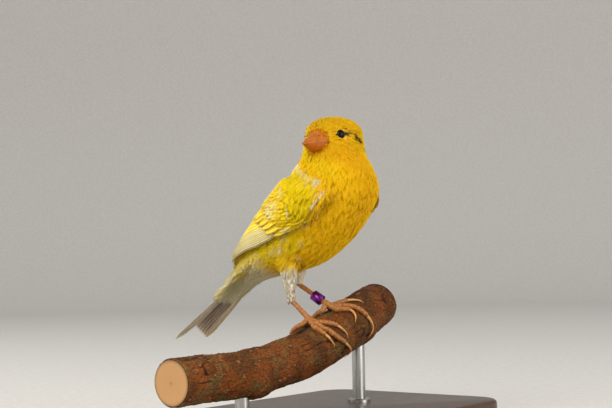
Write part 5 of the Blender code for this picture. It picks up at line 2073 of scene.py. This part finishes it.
@dataclass
class BillBristles:
    """The short, hair-like feathers that point forward over the bill's root."""

    guide: Guide
    count: int = 620
    length: float = 1.25
    colour: str = "#f6b400"
    gape_colour: str = "#a4661a"

    def build(self) -> None:
        """Builds the bristles."""
        rng = np.random.default_rng(SEED + 60)
        trunk = self.guide.trunk
        turn = rng.uniform(0, 2 * np.pi, self.count)
        _, left, back = trunk.bill_section()
        reach = rng.uniform(4.3, 5.8, self.count)[:, None]
        spoke = left * np.cos(turn)[:, None] + UP * np.sin(turn)[:, None]
        spots, out, _, _ = self.guide.nearest(trunk.bill_base() - back * 2.6 + spoke * reach)
        spots = spots - out * 0.25
        lies = unit(-back * 0.8 - spoke * 0.5 + out * 0.12 + rng.normal(0, 0.1, spots.shape))
        spoke = unit(out + spoke * 0.5)
        sizes = self.length * rng.uniform(0.6, 1.1, self.count)
        piece = set_out("bill_bristles", spots, spoke, lies, sizes, bristle_shape(), BODY_FEATHER, spread=0.2)
        kept = piece.data.color_attributes
        tint = kept.get("tint") or kept.new("tint", "FLOAT_COLOR", "POINT")
        gape = np.where(np.abs(np.sin(turn) + 0.15) < 0.35, 0.3, 0.02)
        brown = np.repeat(rng.random(self.count) < gape, len(piece.data.vertices) // self.count)[:, None]
        colours = np.where(brown, (*linear(self.gape_colour), 1.0), (*linear(self.colour), 1.0))
        tint.data.foreach_set("color", colours.ravel())
        place(piece, "yellow_feather")


@dataclass
class BarkFlakes:
    """Loose flakes and scales of bark that stand a little off the branch."""

    branch: Branch
    count: int = 260

    def build(self) -> None:
        """Builds the flakes."""
        rng = np.random.default_rng(SEED + 70)
        start, end = self.branch.ends
        across = rng.uniform(start + 2, end - 2, self.count)
        around = rng.uniform(0, 360, self.count)
        clear = (across < -13) | (across > 27) | (np.abs(around - 180) > 150)
        across, around = across[clear], around[clear]
        height, _ = self.branch.relief(across, around)
        spots = self.branch.point(across, around, height - 0.02)
        outs = unit(self.branch.point(across, around, 1.0) - self.branch.point(across, around, 0.0))
        _, run, *_ = self.branch.frame_at(across)
        lies = unit(run + rng.normal(0, 0.25, run.shape))
        sizes = rng.uniform(0.8, 2.3, len(across))
        piece = set_out("bark_flakes", spots, outs, lies, sizes, flake_shape(), BARK, spread=0.15)
        place(piece, "perch_bark")


# The stand and the studio


@dataclass
class Stand:
    """The varnished base and the two steel rods let into it."""

    branch: Branch
    length: float = 128.0
    width: float = 84.0
    height: float = 9.0
    corner: float = 12.0
    edge: float = 1.5
    rod_radius: float = 2.5
    rod_sides: int = 56
    socket: float = 4.0
    collar: tuple = ((0.0, 4.3), (0.9, 4.3), (1.25, 4.0), (1.4, 3.6), (1.4, 2.5))  # heights and radii
    rods: tuple = (("left", 26.0), ("right", -44.0))

    def build(self) -> None:
        """Builds the base and its rods."""
        profile = ((0.0, 0.6), (0.6, 0.0), (self.height - self.edge, 0.0), (self.height - 1.1, 0.08),
                   (self.height - 0.6, 0.35), (self.height - 0.2, 0.85), (self.height, self.edge))
        turn = np.radians(np.linspace(0, 90, 17) + 90 * np.arange(4)[:, None])[..., None]
        middle = np.array([self.length / 2 - self.corner, self.width / 2 - self.corner])
        corners = np.array(((1, 1), (-1, 1), (-1, -1), (1, -1)))[:, None] * middle
        rings = []
        for height, inset in profile:
            flat = corners + np.concatenate([np.cos(turn), np.sin(turn)], -1) * (self.corner - inset)
            flat = flat.reshape(-1, 2)
            rings.append(np.column_stack([flat, np.full(len(flat), height)]))
        shape = tube(np.array(rings))
        closed_piece("base_board", shape, STAINED_WOOD, "stand_wood", ("stand_base",), sharp=30)
        for word, across in self.rods:
            self.rod(word, across)

    def rod(self, word: str, across: float) -> None:
        """Builds one rod, with the low collar at its foot.

        Args:
            word: The rod's side.
            across: Its place along the branch.
        """
        centre = self.branch.frame_at(np.array(across))[0]
        top = float(self.branch.point(np.array(across), np.array(180.0))[2]) + self.socket
        low = self.height - self.socket + 0.3
        shaft = [(low + (top - low) * share, self.rod_radius) for share in (0.0, 0.02, 0.98, 1.0)]
        collar = [(self.height - 0.02 + high, radius) for high, radius in self.collar]
        parts = []
        for outline in (shaft, collar):
            path = np.array([(across, centre[1], height) for height, _ in outline])
            radii = np.array([radius for _, radius in outline])
            parts.append((*tube(tube_rings(path, radii, self.rod_sides, LEFTWARD)), 1.0))
        points, faces, _ = joined(parts)
        closed_piece("rod_" + word, (points, faces), STEEL, "stand_steel", ("stand_rod_" + word,), sharp=35)


@dataclass
class Studio:
    """The pale floor, the soft lights and the camera at the photograph's angle."""

    azimuth: float = -52.0
    rise: float = 3.1
    roll: float = 1.15
    distance: float = 450.0
    height: float = 60.0
    aside: float = 4.4
    focal: float = 1215.0  # in pixels of the photograph's width
    sensor: float = 36.0
    sky_colour: str = "#eef0f2"
    sky_strength: float = 0.72
    lights: tuple = (  # name, azimuth, elevation, distance, size, power and colour
        ("key", -86.0, 30.0, 0.9, 0.7, 6.6, "#fffaf0"),
        ("fill", 4.0, 14.0, 1.1, 0.8, 7.5, "#fbf8f2"),
        ("back", -150.0, 24.0, 1.1, 0.6, 4.0, "#ffffff"),
    )

    def axes(self) -> tuple[Array, Array, Array, Array]:
        """The camera's right, up and forward directions, and the level direction back to it."""
        turn, rise, roll = np.radians([self.azimuth, self.rise, self.roll])
        right = np.array([np.cos(turn), np.sin(turn), 0.0])
        back = np.array([np.sin(turn), -np.cos(turn), 0.0])
        ahead = -back * np.cos(rise) + UP * np.sin(rise)
        up = np.cross(right, ahead)
        return right * np.cos(roll) - up * np.sin(roll), up * np.cos(roll) + right * np.sin(roll), ahead, back

    def camera(self) -> None:
        """Sets up the camera."""
        right, up, ahead, back = self.axes()
        level = np.array([-back[1], back[0], 0.0])
        where = back * self.distance - level * self.aside
        where[2] = self.height
        data = bpy.data.cameras.new("camera")
        data.sensor_width = self.sensor
        data.lens = self.focal / PHOTO_WIDTH * self.sensor
        data.clip_start, data.clip_end = 0.01, 20.0
        camera = bpy.data.objects.new("camera", data)
        turned = Matrix((right, up, -ahead)).transposed().to_4x4()
        camera.matrix_world = Matrix.Translation(Vector(where * MM)) @ turned
        bpy.context.scene.collection.objects.link(camera)
        bpy.context.scene.camera = camera

    def light(
        self, name: str, azimuth: float, elevation: float, distance: float, size: float, power: float,
        colour: str,
    ) -> None:
        """Adds a soft light that faces the bird.

        Args:
            name: The light's name.
            azimuth: Its direction, counted as the camera's is.
            elevation: Its angle above the floor.
            distance: How far away it is, in metres.
            size: Its side, in metres.
            power: Its power in watts.
            colour: Its colour.
        """
        turn, high = math.radians(azimuth), math.radians(elevation)
        way = Vector((math.sin(turn) * math.cos(high), -math.cos(turn) * math.cos(high), math.sin(high)))
        data = bpy.data.lights.new(name, "AREA")
        data.shape = "DISK"
        data.size = size
        data.energy = power
        data.color = linear(colour)
        lamp = bpy.data.objects.new(name, data)
        lamp.location = way * distance + Vector((0, 0, 0.07))
        lamp.rotation_mode = "QUATERNION"
        lamp.rotation_quaternion = way.to_track_quat("Z", "Y")
        bpy.context.scene.collection.objects.link(lamp)

    def room(self) -> None:
        """Builds the floor with its upturned edge, and the soft light all round it."""
        turn = np.arange(96) * 2 * np.pi / 96
        outline = [(0.01, 0.0), (300.0, 0.0), (1500.0, 0.0)]
        for bend in np.radians(np.linspace(8, 90, 10)):
            outline.append((1500 + 500 * math.sin(bend), 500 * (1 - math.cos(bend))))
        outline.append((2000.0, 1300.0))
        rings = np.array([[(math.cos(a) * r, math.sin(a) * r, z - 0.05) for a in turn] for r, z in outline])
        quads = tube_faces(len(outline), 96)[0][:, ::-1]
        floor = mesh_object("floor", rings, [quads], PAPER)
        floor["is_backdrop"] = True
        world = bpy.data.worlds.new("soft_room")
        world.use_nodes = True
        sky = world.node_tree.nodes["Background"]
        sky.inputs["Color"].default_value = (*linear(self.sky_colour), 1.0)
        sky.inputs["Strength"].default_value = self.sky_strength
        bpy.context.scene.world = world

    def build(self) -> None:
        """Builds the room, the lights and the camera."""
        self.room()
        bpy.context.scene.view_settings.view_transform = "Standard"
        for lamp in self.lights:
            self.light(*lamp)
        self.camera()


FEET = {
    Side.LEFT: dict(
        joint=(6.1, 1.7, 47.2), heel=(3.2, 12.2, 55.8), hip=(5.0, 12.5, 66.0),
        toes={
            "front_1": ((9.4, 14), (12.2, 27), (13.8, 40), (13.4, 53), (11.4, 66)),
            "front_2": ((11.6, 4), (16.2, 34), (18.6, 66), (20.8, 104), (19.0, 126)),
            "front_3": ((11.6, -12), (16.0, 0), (19.8, 14), (22.0, 28), (23.0, 40)),
            "hallux": ((7.2, -12), (8.0, -34), (8.6, -58), (9.0, -80), (9.4, -98)),
        },
    ),
    Side.RIGHT: dict(
        joint=(-6.6, 0.0, 42.0), heel=(-8.1, 7.1, 50.1), hip=(-8.8, 7.8, 66.0),
        toes={
            "front_1": ((-3.6, 16), (0.4, 40), (2.6, 60), (3.8, 76), (4.0, 88)),
            "front_2": ((-4.6, 36), (-2.0, 68), (2.2, 96), (5.8, 122), (4.6, 142)),
            "front_3": ((-7.0, 26), (-6.4, 48), (-5.4, 66), (-4.6, 80), (-4.4, 90)),
            "hallux": ((-7.0, -12), (-6.6, -34), (-6.2, -58), (-6.0, -78), (-5.8, -96)),
        },
    ),
}


def write_sizes() -> None:
    """Works out the frame's box and the finished model's box, as lists in metres, without writing them."""
    boxes = {"cad": CAD_BOX, "visual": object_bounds()}
    boxes = {name: [list(corner) for corner in box] for name, box in boxes.items()}


def main() -> None:
    """Builds the bird, its branch, its stand and the studio, in that order."""
    logging.basicConfig(level=logging.INFO, format="%(message)s")
    trunk = Trunk()
    plumage = Plumage(trunk)
    wings = [Wing(trunk, side) for side in Side]
    thighs = tuple(Thigh(side, FEET[side]["hip"], FEET[side]["heel"]) for side in Side)
    coat = Coat(trunk, plumage, Guide(trunk), wings[0], thighs)
    Studio().build()
    Skin(coat).build()
    coat.build()
    for wing in wings:
        wing.build()
    for thigh in thighs:
        thigh.build(coat.web)
    Tail(trunk).build()
    for side in Side:
        Eye(trunk, side).build()
    Bill(trunk).build()
    BillBristles(coat.guide).build()
    branch = Branch()
    branch.build()
    BarkFlakes(branch).build()
    legs = {side: Leg(branch, side, **FEET[side]) for side in Side}
    for leg in legs.values():
        leg.build()
    LegRing().build(legs[Side.LEFT])
    Stand(branch).build()
    write_sizes()


if __name__ == "__main__":
    main()
